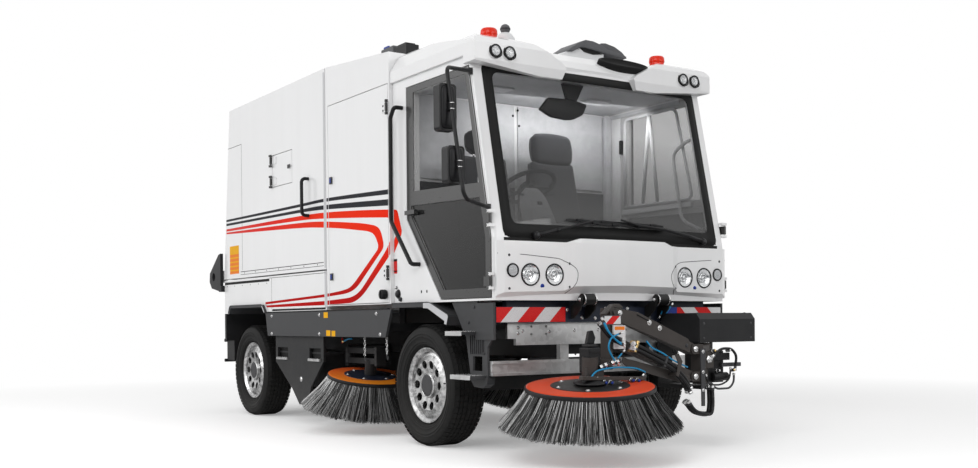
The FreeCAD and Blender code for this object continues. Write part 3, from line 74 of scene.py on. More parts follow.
class Shape:
    """Collects the solids of one piece, each with its finish."""
    BLOCK = ((0, 1, 3, 2), (4, 6, 7, 5), (0, 4, 5, 1), (2, 3, 7, 6), (0, 2, 6, 4), (1, 5, 7, 3))

    def __init__(self):
        self.mesh = bmesh.new()
        self.coats = []

    def slot(self, coat):
        """The material index of a finish on this piece."""
        if coat not in self.coats:
            self.coats.append(coat)
        return self.coats.index(coat)

    def faces(self, points, faces, coat, bevel=0.0, smooth=False, segments=2, spin=None):
        """One closed solid from its points and faces; spin turns or moves it by a matrix."""
        solid = bmesh.new()
        corners = [solid.verts.new(p) for p in points]
        for face in faces:
            solid.faces.new([corners[k] for k in face])
        bmesh.ops.recalc_face_normals(solid, faces=solid.faces)
        if bevel:
            edges = [e for e in solid.edges if len(e.link_faces) == 2 and e.calc_face_angle(0) > 0.5]
            bmesh.ops.bevel(solid, geom=edges, offset=bevel, segments=segments, affect="EDGES", profile=0.6)
        if spin is not None:
            bmesh.ops.transform(solid, matrix=spin, verts=solid.verts)
        index = self.slot(coat)
        copies = [self.mesh.verts.new(v.co) for v in solid.verts]
        solid.verts.index_update()
        for face in solid.faces:
            made = self.mesh.faces.new([copies[v.index] for v in face.verts])
            made.material_index = index
            made.smooth = smooth
        solid.free()

    def box(self, low, high, coat, bevel=0.003, spin=None, smooth=False):
        """A block between two opposite corners."""
        xs, ys, zs = (sorted(ends) for ends in zip(low, high))
        points = [(x, y, z) for x in xs for y in ys for z in zs]
        self.faces(points, self.BLOCK, coat, bevel, smooth, spin=spin)

    def sheet(self, points, coat, facing):
        """One flat open face that looks in a direction, for film laid on a panel."""
        face = self.mesh.faces.new([self.mesh.verts.new(p) for p in points])
        face.normal_update()
        if face.normal.dot(Vector(facing)) < 0:
            face.normal_flip()
        face.material_index = self.slot(coat)

    def prism(self, outline, plane, near, far, coat, bevel=0.0, spin=None, smooth=False):
        """An outline of (x, z), (y, z) or (x, y) pushed along the axis that the plane leaves out."""
        place = {"xz": lambda a, b, d: (a, d, b), "yz": lambda a, b, d: (d, a, b), "xy": lambda a, b,
            d: (a, b, d)}
        n = len(outline)
        points = [place[plane](a, b, d) for d in sorted((near, far)) for a, b in outline]
        sides = [tuple(range(n)), tuple(range(2 * n - 1, n - 1, -1))]
        sides += [(k, (k + 1) % n, n + (k + 1) % n, n + k) for k in range(n)]
        self.faces(points, sides, coat, bevel, smooth, spin=spin)

    def loft(self, rings, coat, bevel=0.0, spin=None, smooth=False, capped=True):
        """A skin over rings of as many points each; uncapped, its last ring meets the first."""
        n, count = len(rings[0]), len(rings)
        faces = [(a * n + k, a * n + (k + 1) % n, (a + 1) % count * n + (k + 1) % n, (a + 1) % count * n + k)
            for a in range(count - capped) for k in range(n)]
        if capped:
            faces += [tuple(range(n)), tuple(range((count - 1) * n, count * n))]
        self.faces([p for ring in rings for p in ring], faces, coat, bevel, smooth, spin=spin)

    def knob(self, profile, *place, **how):
        """A turned solid that is closed flat at both ends of its profile."""
        self.turned([(0.0, profile[0][1]), *profile, (0.0, profile[-1][1])], *place, **how)

    def turned(self, profile, centre, axis, coat, sides=48, smooth=True):
        """A turned solid from (radius, height) pairs; a pair on the axis closes an end."""
        spin = Matrix.Translation(centre) @ Vector(axis).normalized().to_track_quat("Z", "Y").to_matrix().to_4x4()
        rings, points = [], []
        for radius, height in profile:
            if radius < 1e-6:
                rings.append([len(points)])
                points.append((0, 0, height))
            else:
                rings.append([len(points) + k for k in range(sides)])
                points += [(radius * cos(tau * k / sides), radius * sin(tau * k / sides), height)
                    for k in range(sides)]
        faces = []
        pairs = [pair for pair in zip(rings, rings[1:]) if len(pair[0] + pair[1]) > 2]
        if len(rings[0]) > 1 and len(rings[-1]) > 1:
            pairs.append((rings[-1], rings[0]))
        for a, b in pairs:
            for k in range(sides):
                corners = [a[k % len(a)], a[(k + 1) % len(a)], b[(k + 1) % len(b)], b[k % len(b)]]
                faces.append(tuple(dict.fromkeys(corners)))
        self.faces(points, faces, coat, 0.0, smooth, spin=spin)

    def tube(self, path, radius, coat, sides=12, rounds=0.0, smooth=True, ends=True):
        """A round tube along a path, its corners rounded; radius may be a number or one for each point."""
        path = [Vector(p) for p in path]
        if rounds:
            path = rounded(path, rounds)
        radii = radius if isinstance(radius, (list, tuple)) else [radius] * len(path)
        points, faces = [], []
        normal = None
        for k, p in enumerate(path):
            ahead = (path[min(k + 1, len(path) - 1)] - path[max(k - 1, 0)]).normalized()
            if normal is None:
                helper = Vector(UP) if abs(ahead.z) < 0.9 else Vector(AHEAD)
                normal = ahead.cross(helper).normalized()
            normal = (normal - ahead * normal.dot(ahead)).normalized()
            other = ahead.cross(normal)
            for j in range(sides):
                t = tau * j / sides
                points.append(p + (normal * cos(t) + other * sin(t)) * radii[k])
        for k in range(len(path) - 1):
            for j in range(sides):
                a, b = k * sides + j, k * sides + (j + 1) % sides
                faces.append((a, b, b + sides, a + sides))
        if ends:
            faces += [tuple(range(sides)), tuple(range(len(points) - 1, len(points) - 1 - sides, -1))]
        self.faces(points, faces, coat, 0.0, smooth)

    def piece(self, name, body, slot=None, replaces=()):
        """Turns the collected solids into one piece that rides on a body."""
        bmesh.ops.translate(self.mesh, vec=(AXLE_X, 0, 0), verts=self.mesh.verts)
        data = bpy.data.meshes.new(name)
        self.mesh.to_mesh(data)
        self.mesh.free()
        made = bpy.data.objects.new(name, data)
        bpy.context.scene.collection.objects.link(made)
        for coat in self.coats:
            data.materials.append(finish(coat))
        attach(made, body)
        if replaces:
            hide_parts(*replaces)
        return made


def corner_curve(start, corner, stop, steps):
    """Points of a short curve from start to stop that takes the place of a corner."""
    shares = [k / steps for k in range(steps + 1)]
    return [start * (1 - t) ** 2 + corner * 2 * t * (1 - t) + stop * t ** 2 for t in shares]


def rounded(path, radius, steps=6):
    """The same path with each corner turned into a short curve."""
    out = [path[0]]
    for before, corner, after in zip(path, path[1:], path[2:]):
        a, b = before - corner, after - corner
        reach = min(radius, a.length * 0.45, b.length * 0.45)
        start, stop = corner + a.normalized() * reach, corner + b.normalized() * reach
        out += corner_curve(start, corner, stop, steps)
    return out + [path[-1]]


def angles(count):
    """Even steps round a full turn."""
    return [tau * k / count for k in range(count)]


def rotated(degrees, axis):
    """A turn about an axis through the origin."""
    return Matrix.Rotation(radians(degrees), 4, axis)


def around(x, y, z, axis, degrees):
    """A turn about a line through a point."""
    move = Matrix.Translation((x, y, z))
    return move @ rotated(degrees, axis) @ move.inverted()


# ---- shader tools

class Value:
    """A socket that stands in an expression; each operation adds a node."""

    def __init__(self, finish, socket):
        self.finish, self.socket = finish, socket

    def math(self, operation, *others):
        return self.finish.node("Math", {"operation": operation}, self, *others)

    def clamped(self):
        return self.finish.node("Clamp", {}, self)


def operator(operation, flipped=False):
    """A method that puts both values into one node, the other value first where it is flipped."""
    def method(self, other):
        pair = (other, self) if flipped else (self, other)
        return self.finish.node("Math", {"operation": operation}, *pair)
    return method


for name, operation in (("add", "ADD"), ("sub", "SUBTRACT"), ("mul", "MULTIPLY"), ("truediv", "DIVIDE"),
        ("pow", "POWER"), ("gt", "GREATER_THAN"), ("lt", "LESS_THAN"), ("mod", "FLOORED_MODULO"), ("radd", "ADD"),
        ("rmul", "MULTIPLY")):
    setattr(Value, f"__{name}__", operator(operation))
Value.__rsub__ = operator("SUBTRACT", flipped=True)
Value.__rtruediv__ = operator("DIVIDE", flipped=True)


class Finish:
    """One material under construction."""

    def __init__(self, name, **constants):
        self.material = bpy.data.materials.new(name)
        self.material.use_nodes = True
        self.tree = self.material.node_tree
        self.shader = self.tree.nodes["Principled BSDF"]
        for socket, value in constants.items():
            self.set(socket.replace("_", " "), value)

    def set(self, socket, value):
        target = next(s for s in self.shader.inputs if s.name.lower() == socket.lower())
        self.plug(target, value)
        return self

    def plug(self, target, value):
        if isinstance(value, Value):
            self.tree.links.new(value.socket, target)
        elif target.type == "RGBA" and len(value) == 3:
            target.default_value = (*value, 1.0)
        else:
            target.default_value = value

    def node(self, kind, settings, *values, out=0, **named):
        """Any node: its type, its settings, then the values or links of its sockets in order or by name."""
        node = self.tree.nodes.new("ShaderNode" + kind)
        for key, value in settings.items():
            if key == "stops":
                ramp = node.color_ramp
                while len(ramp.elements) < len(value):
                    ramp.elements.new(0.5)
                for element, (place, colour) in zip(ramp.elements, value):
                    element.position, element.color = place, (*colour, 1.0)
            else:
                setattr(node, key, value)
        enabled = [s for s in node.inputs if s.enabled]
        for target, value in zip(enabled, values):
            if value is not None:
                self.plug(target, value)
        for name, value in named.items():
            self.plug(next(s for s in enabled if s.name.lower() == name.replace("_", " ").lower()), value)
        outputs = [s for s in node.outputs if s.enabled]
        return Value(self, outputs[out])

    def place(self):
        """The point being shaded, in metres."""
        return self.node("TexCoord", {}, out=3)

    def parts(self, vector=None):
        """The three coordinates of a vector, or of the shaded point."""
        vector = vector or self.place()
        split = self.node("SeparateXYZ", {}, vector)
        return [Value(self, s) for s in split.socket.node.outputs]

    def noise(self, scale, detail=3.0, roughness=0.55, vector=None):
        return self.node("TexNoise", {}, Vector=vector or self.place(), Scale=scale, Detail=detail,
            Roughness=roughness)

    def mix(self, factor, first, second):
        return self.node("Mix", {"data_type": "RGBA"}, Factor=factor, A=first, B=second)

    def ramp(self, factor, *stops):
        return self.node("ValToRGB", {"stops": stops}, factor)

    def coat(self, colour, roughness, relief=None, **others):
        """Sets colour, roughness and other sockets, and a relief of (noise scale, detail, depth, strength)."""
        self.set("Base Color", colour)
        self.set("Roughness", roughness)
        for socket, value in others.items():
            self.set(socket.replace("_", " "), value)
        if relief:
            scale, detail, depth, strength = relief
            self.bump(self.noise(scale, detail), depth, strength)
        return self

    def bump(self, height, distance, strength=1.0):
        self.set("Normal", self.node("Bump", {}, Strength=strength, Distance=distance, Height=height))
        return self


def grey(value):
    return (value, value, value)


# ---- settings

class SweeperLook(bpy.types.PropertyGroup):
    body_colour: FloatVectorProperty(name="Body paint", description="Colour of the gloss body paint",
        subtype="COLOR", default=(0.86, 0.862, 0.868))
    frame_colour: FloatVectorProperty(name="Frame paint", description="Colour of the satin chassis and arm paint",
        subtype="COLOR", default=(0.014, 0.0145, 0.016))
    skirt_colour: FloatVectorProperty(name="Skirt paint", description="Colour of the side skirts and boxes",
        subtype="COLOR", default=(0.046, 0.047, 0.05))
    stripe_red: FloatVectorProperty(name="Red stripe", description="Deep red at the low end of the side stripes",
        subtype="COLOR", default=(0.46, 0.004, 0.004))
    disc_colour: FloatVectorProperty(name="Brush disc", description="Paint of the disc brushes", subtype="COLOR",
        default=(0.78, 0.075, 0.02))
    dust: FloatProperty(name="Dust", description="How much road dust lies on the low parts", default=0.5, min=0.0,
        max=1.0, subtype="FACTOR")


class SweeperSizes(bpy.types.PropertyGroup):
    bristles: IntProperty(name="Bristles", description="Bristles on each disc brush", default=9000, min=100)
    bristle: FloatProperty(name="Bristle thickness", description="Radius of one bristle", default=0.0017,
        unit="LENGTH")
    tread_depth: FloatProperty(name="Tread depth", description="Depth of the tyre grooves", default=0.009,
        unit="LENGTH")
    blocks: IntProperty(name="Tread blocks", description="Blocks around each tyre", default=62, min=12)
    film: FloatProperty(name="Film thickness", description="Thickness of the stripes on the paint",
        default=0.0006, unit="LENGTH")
    lens: FloatProperty(name="Lens", description="Focal length of the camera", default=40.756, unit="CAMERA")


def look():
    return bpy.context.scene.sweeper_look


def sizes():
    return bpy.context.scene.sweeper_sizes


# ---- finishes

MADE = {}


def finish(name):
    """The material of that name, made once."""
    if name not in MADE:
        MADE[name] = FINISHES[name]().material
    return MADE[name]


def dusty(f, colour, low=0.25, high=1.1, dust=(0.2, 0.18, 0.155), most=0.45):
    """The colour with a little road dust that thins with height."""
    height = f.parts()[2]
    fade = ((high - height) / (high - low)).clamped()
    patch = (f.noise(6.0, 6.0, 0.62) * 1.6 - 0.45).clamped()
    return f.mix(fade * patch * (most * look().dust), colour, dust)


def streaks(f, amount):
    """Faint upright streaks that rain leaves on a side panel, as a factor."""
    stretched = f.node("Mapping", {}, Vector=f.place(), Scale=(9.0, 9.0, 0.5))
    return (f.noise(1.0, 5.0, 0.6, vector=stretched) * 1.8 - 0.75).clamped() * amount


def gloss_white(f):
    """Colour of the body paint with slight clouding, streaks and dust."""
    base = tuple(look().body_colour)
    tint = f.mix(f.noise(1.3, 4.0), tuple(c * 0.965 for c in base), base)
    tint = f.mix(streaks(f, 0.07), tint, (0.36, 0.35, 0.33))
    return dusty(f, tint, 0.9, 1.5, most=0.16)


def body_paint():
    f = Finish("body_paint", Coat_Weight=0.6, Coat_Roughness=0.05)
    return f.coat(gloss_white(f), f.noise(35.0, 2.0) * 0.08 + 0.27, (260.0, 1.0, 0.00018, 0.25))


def trimmed_paint():
    """Body paint whose hinges and latches, which stand proud of the panels, are black."""
    f = Finish("trimmed_body_paint", Coat_Roughness=0.05)
    proud = f.parts()[1].math("ABSOLUTE") > BODY + 0.0068
    grain = f.noise(35.0, 2.0)
    return f.coat(f.mix(proud, gloss_white(f), f.mix(grain, grey(0.012), grey(0.022))),
        grain * 0.08 + 0.27 + proud * 0.18, (260.0, 1.0, 0.00018, 0.25), Coat_Weight=0.6 - proud * 0.55)


def door_paint():
    """Cab door: black outside, pale moulded lining inside."""
    f = Finish("cab_door_finish", Coat_Roughness=0.08)
    inside = f.parts()[1].math("ABSOLUTE") < CAB - 0.008
    grain = f.noise(60.0, 3.0)
    return f.coat(f.mix(inside, f.mix(grain, grey(0.01), grey(0.018)), f.mix(grain, grey(0.5), grey(0.58))),
        grain * 0.1 + 0.24 + inside * 0.3, (420.0, 2.0, 0.0002, 0.25), Coat_Weight=0.4 - inside * 0.4)


def satin(name, colour, dust, roughness=0.42, grain=420.0, gloss=0.22):
    """Satin paint or moulded plastic with slight wear, grain and dust."""
    f = Finish(name, Specular_IOR_Level=gloss)
    wear = f.noise(14.0, 5.0, 0.6)
    tint = f.mix(wear, tuple(c * 0.8 for c in colour), tuple(min(c * 1.25, 1.0) for c in colour))
    return f.coat(dusty(f, tint, most=dust), wear * 0.16 + (roughness - 0.08), (grain, 2.0, 0.0003, 0.35))


def beam_paint():
    """Dark blue beam; the tow rollers ahead of its face are black."""
    f = Finish("beam_paint", Specular_IOR_Level=0.25)
    ahead = f.parts()[0] > AXLE_X + 0.8525
    wear = f.noise(14.0, 5.0, 0.6)
    blue = f.mix(wear, (0.008, 0.011, 0.022), (0.016, 0.022, 0.042))
    return f.coat(dusty(f, f.mix(ahead, blue, grey(0.009)), most=0.12), wear * 0.16 + 0.32,
        (420.0, 2.0, 0.0003, 0.35))


def rubber():
    f = Finish("tyre_rubber", Specular_IOR_Level=0.16)
    patch = f.noise(9.0, 6.0, 0.65)
    rings = (f.noise(55.0, 4.0, 0.6) * 1.4 - 0.5).clamped()
    tint = f.mix(patch, grey(0.005), (0.012, 0.012, 0.012))
    return f.coat(dusty(f, f.mix(rings * 0.3, tint, (0.04, 0.038, 0.036)), 0.0, 0.55, most=0.16),
        patch * 0.22 + 0.52, (300.0, 3.0, 0.0004, 0.4))


def bright_rim():
    """Polished alloy whose bright and dark mottling is painted highlight and reflection."""
    f = Finish("bright_rim", Metallic=1.0)
    # painted highlights: the mottle paints bright and dark patches into the metal's colour
    mottle = (f.noise(26.0, 6.0, 0.68) * 2.6 - 0.85).clamped()
    return f.coat(f.mix(mottle, grey(0.16), grey(0.82)), 0.46 - mottle * 0.26, (75.0, 3.0, 0.0008, 0.45))


def galvanised():
    f = Finish("galvanised_sheet", Metallic=1.0)
    spangle = f.node("TexVoronoi", {}, Vector=f.place(), Scale=34.0, out=1)
    flake = f.parts(spangle)[0] * 0.45 + f.noise(5.0, 5.0) * 0.55
    return f.coat(f.mix(flake, grey(0.44), grey(0.66)), flake * 0.18 + 0.3, (160.0, 3.0, 0.0002, 0.3))


def glazing(name, tint, least):
    """Glass with a slight tint; least is how much of it the eye sees where the haze is thinnest."""
    f = Finish(name, IOR=1.5, Specular_IOR_Level=0.5)
    haze = f.noise(2.2, 3.0)
    return f.coat(f.mix(haze, tint, tuple(c * 1.4 for c in tint)), haze * 0.03 + 0.01, Alpha=haze * 0.05 + least)


def lens_glass():
    f = glazing("lens_glass", (0.62, 0.65, 0.68), 0.12)
    ribs = (f.parts()[1] * 700.0).math("SINE") * 0.5 + 0.5
    return f.bump(ribs, 0.0005, 0.35)


def screen_glass():
    """Clear at the top; toward the console it turns greyer and less clear, a painted reflection."""
    f = Finish("screen_glass", IOR=1.5, Specular_IOR_Level=0.5)
    haze = f.noise(2.2, 3.0)
    # painted reflection: greyer and less clear toward the console
    low = ((2.15 - f.parts()[2]) / 0.6).clamped()
    return f.coat(f.mix(low, grey(0.05), grey(0.105)), haze * 0.03 + 0.01, Alpha=haze * 0.04 + 0.07 + low * 0.5)


def door_glass():
    """Clear upper pane, greyer and less clear in the far door as painted shade; the lower pane is nearly black,
    paler toward its upper edge, also painted shade.
    """
    f = Finish("door_glass", IOR=1.5, Specular_IOR_Level=0.4)
    haze = f.noise(2.2, 3.0)
    _, y, z = f.parts()
    # painted shade: the far pane is greyer, the lower pane nearly black and paler toward its upper edge
    far = y > 0.0
    low = z < 1.72
    painted_shade_rise = ((z - 1.15) / 0.5).clamped()
    clear = f.mix(haze, grey(0.05), grey(0.08))
    return f.coat(f.mix(low, clear, f.mix(painted_shade_rise, grey(0.004), grey(0.028))), haze * 0.03 + 0.01,
        Alpha=haze * 0.04 + 0.06 + far * 0.24 + low * 0.62)


def amber_lens():
    f = Finish("amber_lens", Specular_IOR_Level=0.3)
    ribs = (f.parts()[2] * 900.0).math("SINE") * 0.5 + 0.5
    f.coat(f.mix(ribs, (0.55, 0.006, 0.002), (0.8, 0.03, 0.004)), f.noise(50.0) * 0.1 + 0.15)
    # painted light: the faint glow stands in for light shining through the lens
    f.set("Emission Color", f.mix(ribs, (0.4, 0.01, 0.0), (0.8, 0.05, 0.005)))
    f.shader.inputs["Emission Strength"].default_value = 0.18
    return f


def mottled(name, grain, dark, pale, span, least, relief=None, **constants):
    """A finish whose colour and roughness follow one noise."""
    f = Finish(name, **constants)
    cloud = f.noise(*grain)
    return f.coat(f.mix(cloud, dark, pale), cloud * span + least, relief)


def enamel(name, colour, roughness=0.3, variation=0.85, gloss=0.3):
    return mottled(name, (20.0, 4.0), tuple(c * variation for c in colour), tuple(colour), 0.12, roughness - 0.05,
        (300.0, 2.0, 0.0002, 0.2), Specular_IOR_Level=gloss)


def bristle(name, dark, pale, metal):
    return mottled(name, (60.0, 4.0, 0.7), grey(dark), grey(pale), 0.2, 0.34, Metallic=metal,
        Specular_IOR_Level=0.25)


def metal(name, grain, dark, pale, span, least):
    return mottled(name, grain, dark, pale, span, least, Metallic=1.0)


def disc_paint():
    return mottled("disc_paint", (11.0, 5.0, 0.6), tuple(c * 0.75 for c in look().disc_colour),
        tuple(look().disc_colour), 0.2, 0.36, (140.0, 3.0, 0.0004, 0.4), Specular_IOR_Level=0.2)


def stripe_red():
    """Film that runs from pale red at the rear to orange-red at the cab, and to deep red down the diagonals."""
    f = Finish("stripe_red", Specular_IOR_Level=0.05)
    x, _, z = f.parts()
    along = ((x - (AXLE_X - 3.77)) / 3.3).clamped()
    upper = f.ramp(along, (0.0, (0.74, 0.08, 0.07)), (0.3, (0.76, 0.03, 0.024)), (0.7, (0.86, 0.036, 0.008)),
        (1.0, (0.88, 0.024, 0.004)))
    low = ((1.5 - z) / 0.4).clamped()
    colour = f.mix(low, upper, tuple(look().stripe_red))
    return f.coat(f.mix(f.noise(25.0) * 0.1, colour, (0.5, 0.01, 0.005)), f.noise(60.0) * 0.1 + 0.5)


def disc_amber():
    """Disc paint whose run from yellow-orange at the front edge to orange-red at the rear is painted light and
    shade.
    """
    f = Finish("disc_amber", Specular_IOR_Level=0.2)
    # painted light and shade: yellow-orange toward the front edge, orange-red toward the rear
    along = ((f.parts()[0] - (AXLE_X - 1.62)) / 0.75).clamped()
    cloud = f.noise(11.0, 5.0, 0.6)
    colour = f.mix(along, (0.76, 0.085, 0.02), (0.93, 0.33, 0.015))
    return f.coat(f.mix(cloud * 0.3, colour, (0.55, 0.08, 0.02)), cloud * 0.2 + 0.34, (140.0, 3.0, 0.0004, 0.4))


def seat_cloth():
    f = Finish("seat_cloth")
    x, y, z = f.parts()
    weave = ((y * 1500.0).math("SINE") * ((x + z) * 1500.0).math("SINE")) * 0.15 + 0.5
    f.coat(f.mix(weave * f.noise(8.0), (0.01, 0.0105, 0.012), (0.05, 0.051, 0.058)), weave * 0.1 + 0.8)
    f.shader.inputs["Sheen Weight"].default_value = 0.25
    return f.bump(weave, 0.0006, 0.3)


def reflective(name, colour):
    """Reflective sheeting with its fine cells."""
    f = Finish(name, Specular_IOR_Level=0.25)
    cell = f.node("TexVoronoi", {"feature": "DISTANCE_TO_EDGE"}, Vector=f.place(), Scale=160.0)
    edge = (cell * 14.0).clamped()
    f.coat(f.mix(edge, tuple(c * 0.75 for c in colour), colour), edge * 0.12 + 0.25)
    return f.bump(edge, 0.0002, 0.4)


FINISHES = {
    "body": body_paint,
    "trimmed": trimmed_paint,
    "door": door_paint,
    "beam": beam_paint,
    "rubber": rubber,
    "rim": bright_rim,
    "galvanised": galvanised,
    "lens": lens_glass,
    "screen_glass": screen_glass,
    "door_glass": door_glass,
    "amber": amber_lens,
    "stripe_red": stripe_red,
    "disc": disc_paint,
    "disc_amber": disc_amber,
    "cloth": seat_cloth,
    "frame": lambda: satin("frame_paint", look().frame_colour, 0.24),
    "skirt": lambda: satin("skirt_paint", look().skirt_colour, 0.16),
    "arm": lambda: satin("arm_paint", (0.05, 0.044, 0.041), 0.1, 0.4),
    "moulding": lambda: satin("grey_moulding", (0.11, 0.112, 0.118), 0.12, 0.55, 700.0),
    "black": lambda: satin("black_plastic", (0.008, 0.008, 0.009), 0.06, 0.4, 900.0),
    "cabin": lambda: satin("cabin_plastic", (0.03, 0.031, 0.034), 0.0, 0.6, 900.0),
    "lining": lambda: satin("cabin_lining", (0.56, 0.565, 0.58), 0.0, 0.65, 500.0),
    "cast": lambda: satin("cast_metal", (0.13, 0.13, 0.13), 0.35, 0.6, 160.0),
    "cap": lambda: satin("hub_cap", (0.045, 0.046, 0.05), 0.3, 0.45, 260.0),
    "seal": lambda: mottled("seal_rubber", (30.0, 3.0), grey(0.005), grey(0.011), 0.2, 0.5,
        (500.0, 2.0, 0.0002, 0.3), Specular_IOR_Level=0.18),
    # dark core of the brushes: partly the dense bristles, partly painted shade among them
    "root": lambda: mottled("bristle_core_and_shade", (45.0, 4.0, 0.7), grey(0.01), grey(0.035), 0.2, 0.6,
        (220.0, 3.0, 0.001, 0.8)),
    "steel": lambda: metal("bright_steel", (200.0, 3.0), grey(0.58), grey(0.76), 0.1, 0.2),
    "brass": lambda: metal("brass_fitting", (150.0, 3.0), (0.62, 0.42, 0.16), (0.8, 0.6, 0.28), 0.12, 0.22),
    "chrome": lambda: metal("reflector", (60.0, 1.0), grey(0.78), grey(0.92), 0.06, 0.05),
    "mirror": lambda: metal("mirror_face", (12.0, 2.0), grey(0.62), grey(0.72), 0.03, 0.02),
    # bristle copies: a mid one, a shaded one that paints shade and a lit one that paints highlights
    "bristle": lambda: bristle("bristle_mid", 0.024, 0.085, 0.3),
    "bristle_painted_shade": lambda: bristle("bristle_painted_shade", 0.005, 0.018, 0.2),
    "bristle_painted_highlight": lambda: bristle("bristle_painted_highlight", 0.26, 0.66, 0.5),
    "red_sheet": lambda: reflective("red_sheeting", (0.66, 0.01, 0.01)),
    "white_sheet": lambda: reflective("white_sheeting", (0.72, 0.72, 0.73)),
    "grey_sheet": lambda: enamel("pale_grey_strip", (0.6, 0.605, 0.62), 0.4),
    "white": lambda: enamel("plain_white", (0.76, 0.765, 0.775), 0.4, 0.93),
    "stripe_black": lambda: enamel("stripe_black", (0.006, 0.007, 0.011), 0.45, gloss=0.12),
    "yellow": lambda: enamel("yellow_enamel", (0.92, 0.46, 0.006), 0.45, gloss=0.12),
    "orange": lambda: enamel("orange_enamel", (0.9, 0.24, 0.03), 0.45, gloss=0.12),
    "blue": lambda: enamel("blue_plastic", (0.01, 0.04, 0.3), 0.3),
    "hose_blue": lambda: enamel("blue_pipe", (0.008, 0.26, 0.52), 0.35),
    "lamp_red": lambda: enamel("lamp_red", (0.45, 0.01, 0.01), 0.15),
}

# which finish each carried-over node gets
COATS = {
    "body": ("cab_shell", "front_fascia", "roof_cap", "lower_body", "hopper_rear_door"),
    "trimmed": ("mid_housing", "hopper_shell", "hopper_hatch", "service_door_left", "service_door_right"),
    "door": ("cab_door_left", "cab_door_right"),
    "frame": ("chassis_frame", "cross_members", "body_bearers", "side_arm_mounts", "front_axle", "rear_axle",
        "rear_bumper", "knuckle_left", "knuckle_right", "front_arm_bracket", "side_arm_left", "side_arm_right",
        "sweeping_housing"),
    "arm": ("front_arm_upper_link", "front_arm_lower_link", "front_arm_post", "front_arm_head"),
    "skirt": ("side_skirts", "entry_steps", "mudguards"),
    "beam": ("front_beam",),
    "black": ("mirrors_right", "grab_rails", "hopper_handle"),
    "cabin": ("dashboard", "steering_wheel"),
    "cloth": ("driver_seat", "passenger_seat"),
    "cast": ("engine_block",),
    "galvanised": ("front_crossbar",),
    "amber": ("beacons",),
    "chrome": ("lamps",),
    "screen_glass": ("windscreen",),
    "door_glass": ("door_glass_left", "door_glass_right"),
    "rim": ("rim_front_left", "rim_front_right", "rim_rear_left", "rim_rear_right"),
    "rubber": ("tyre_front_left", "tyre_front_right", "tyre_rear_left", "tyre_rear_right"),
    "root": ("roller_brush", "front_brush", "side_brush_left", "side_brush_right"),
}


class SWEEPER_OT_coats(bpy.types.Operator):
    """Give every carried-over node its finish"""
    bl_idname = "sweeper.coats"
    bl_label = "Paint the frame"

    def execute(self, context):
        for coat, names in COATS.items():
            for name in names:
                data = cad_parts[name].data
                data.materials.clear()
                data.materials.append(finish(coat))
        return {"FINISHED"}


# ---- livery

def clipped(outline, low, high):
    """The part of an (x, z) outline inside an upright rectangle."""
    for axis, bound, keep_more in ((0, low[0], True), (0, high[0], False), (1, low[1], True),
            (1, high[1], False)):
        inside = (lambda p: p[axis] >= bound) if keep_more else (lambda p: p[axis] <= bound)
        kept = []
        for a, b in zip(outline, outline[1:] + outline[:1]):
            if inside(a):
                kept.append(a)
            if inside(a) != inside(b):
                t = (bound - a[axis]) / (b[axis] - a[axis])
                kept.append((a[0] + (b[0] - a[0]) * t, a[1] + (b[1] - a[1]) * t))
        outline = kept
        if len(outline) < 3:
            return []
    return outline


# panels of one side: name, body it rides on, low corner, high corner
PANELS = (
    ("hopper", "hopper", (-3.83, 1.303), (-1.552, 2.9)),
    ("lower", "vehicle", (-3.83, 0.973), (-1.552, 1.285)),
    ("housing_rear", "vehicle", (-1.497, 1.003), (-1.466, 2.8)),
    ("door", "service_door", (-1.456, 1.014), (-0.458, 2.59)),
    ("housing_front", "vehicle", (-0.448, 1.003), (-0.434, 2.8)),
    ("cab", "vehicle", (-0.427, 1.003), (-0.238, 2.0)),
)

# stripes from the rear on: finish, then the (x, z, corner rounding) of both edges
STRIPES = (
    ("stripe_black", ((-3.765, 1.879, 0), (-1.98, 1.87, 1), (-1.53, 1.875, 1), (-0.434, 1.833, 0)),
        ((-3.765, 1.858, 0), (-1.98, 1.846, 1), (-1.53, 1.849, 1), (-0.434, 1.797, 0))),
    ("stripe_black", ((-3.765, 1.841, 0), (-1.98, 1.824, 1), (-1.53, 1.822, 1), (-0.434, 1.761, 0)),
        ((-3.765, 1.819, 0), (-1.98, 1.8, 1), (-1.53, 1.785, 1), (-0.434, 1.715, 0))),
    ("stripe_red", ((-3.765, 1.787, 0), (-1.98, 1.772, 1), (-1.53, 1.761, 1), (-0.857, 1.719, 1),
        (-0.376, 1.681, 0.03), (-0.305, 1.511, 0.03), (-0.44, 1.353, 0.05), (-0.871, 1.071, 0.1),
        (-1.033, 1.019, 0.08), (-1.513, 1.01, 0.1), (-2.754, 1.009, 0)), ((-3.765, 1.765, 0), (-1.98, 1.735, 1),
        (-1.53, 1.711, 1), (-0.858, 1.662, 1), (-0.449, 1.629, 0.03), (-0.391, 1.504, 0.03), (-0.49, 1.397, 0.05),
        (-0.918, 1.102, 0.1), (-1.065, 1.061, 0.08), (-1.512, 1.044, 0.1), (-2.798, 1.028, 0))),
    ("stripe_red", ((-3.765, 1.756, 0), (-1.98, 1.715, 1), (-1.53, 1.688, 1), (-0.859, 1.62, 0.15),
        (-0.643, 1.584, 0.05), (-0.575, 1.545, 0.05), (-0.521, 1.42, 0.05), (-0.982, 1.126, 0.1),
        (-1.147, 1.093, 0.08), (-1.511, 1.076, 0.1), (-2.798, 1.037, 0)), ((-3.765, 1.739, 0), (-1.98, 1.671, 1),
        (-1.53, 1.637, 1), (-1.186, 1.603, 0.15), (-0.766, 1.551, 0.05), (-0.675, 1.523, 0.05),
        (-0.601, 1.422, 0.05), (-1.063, 1.143, 0.1), (-1.197, 1.121, 0.08), (-1.511, 1.099, 0.1),
        (-2.797, 1.058, 0))),
)


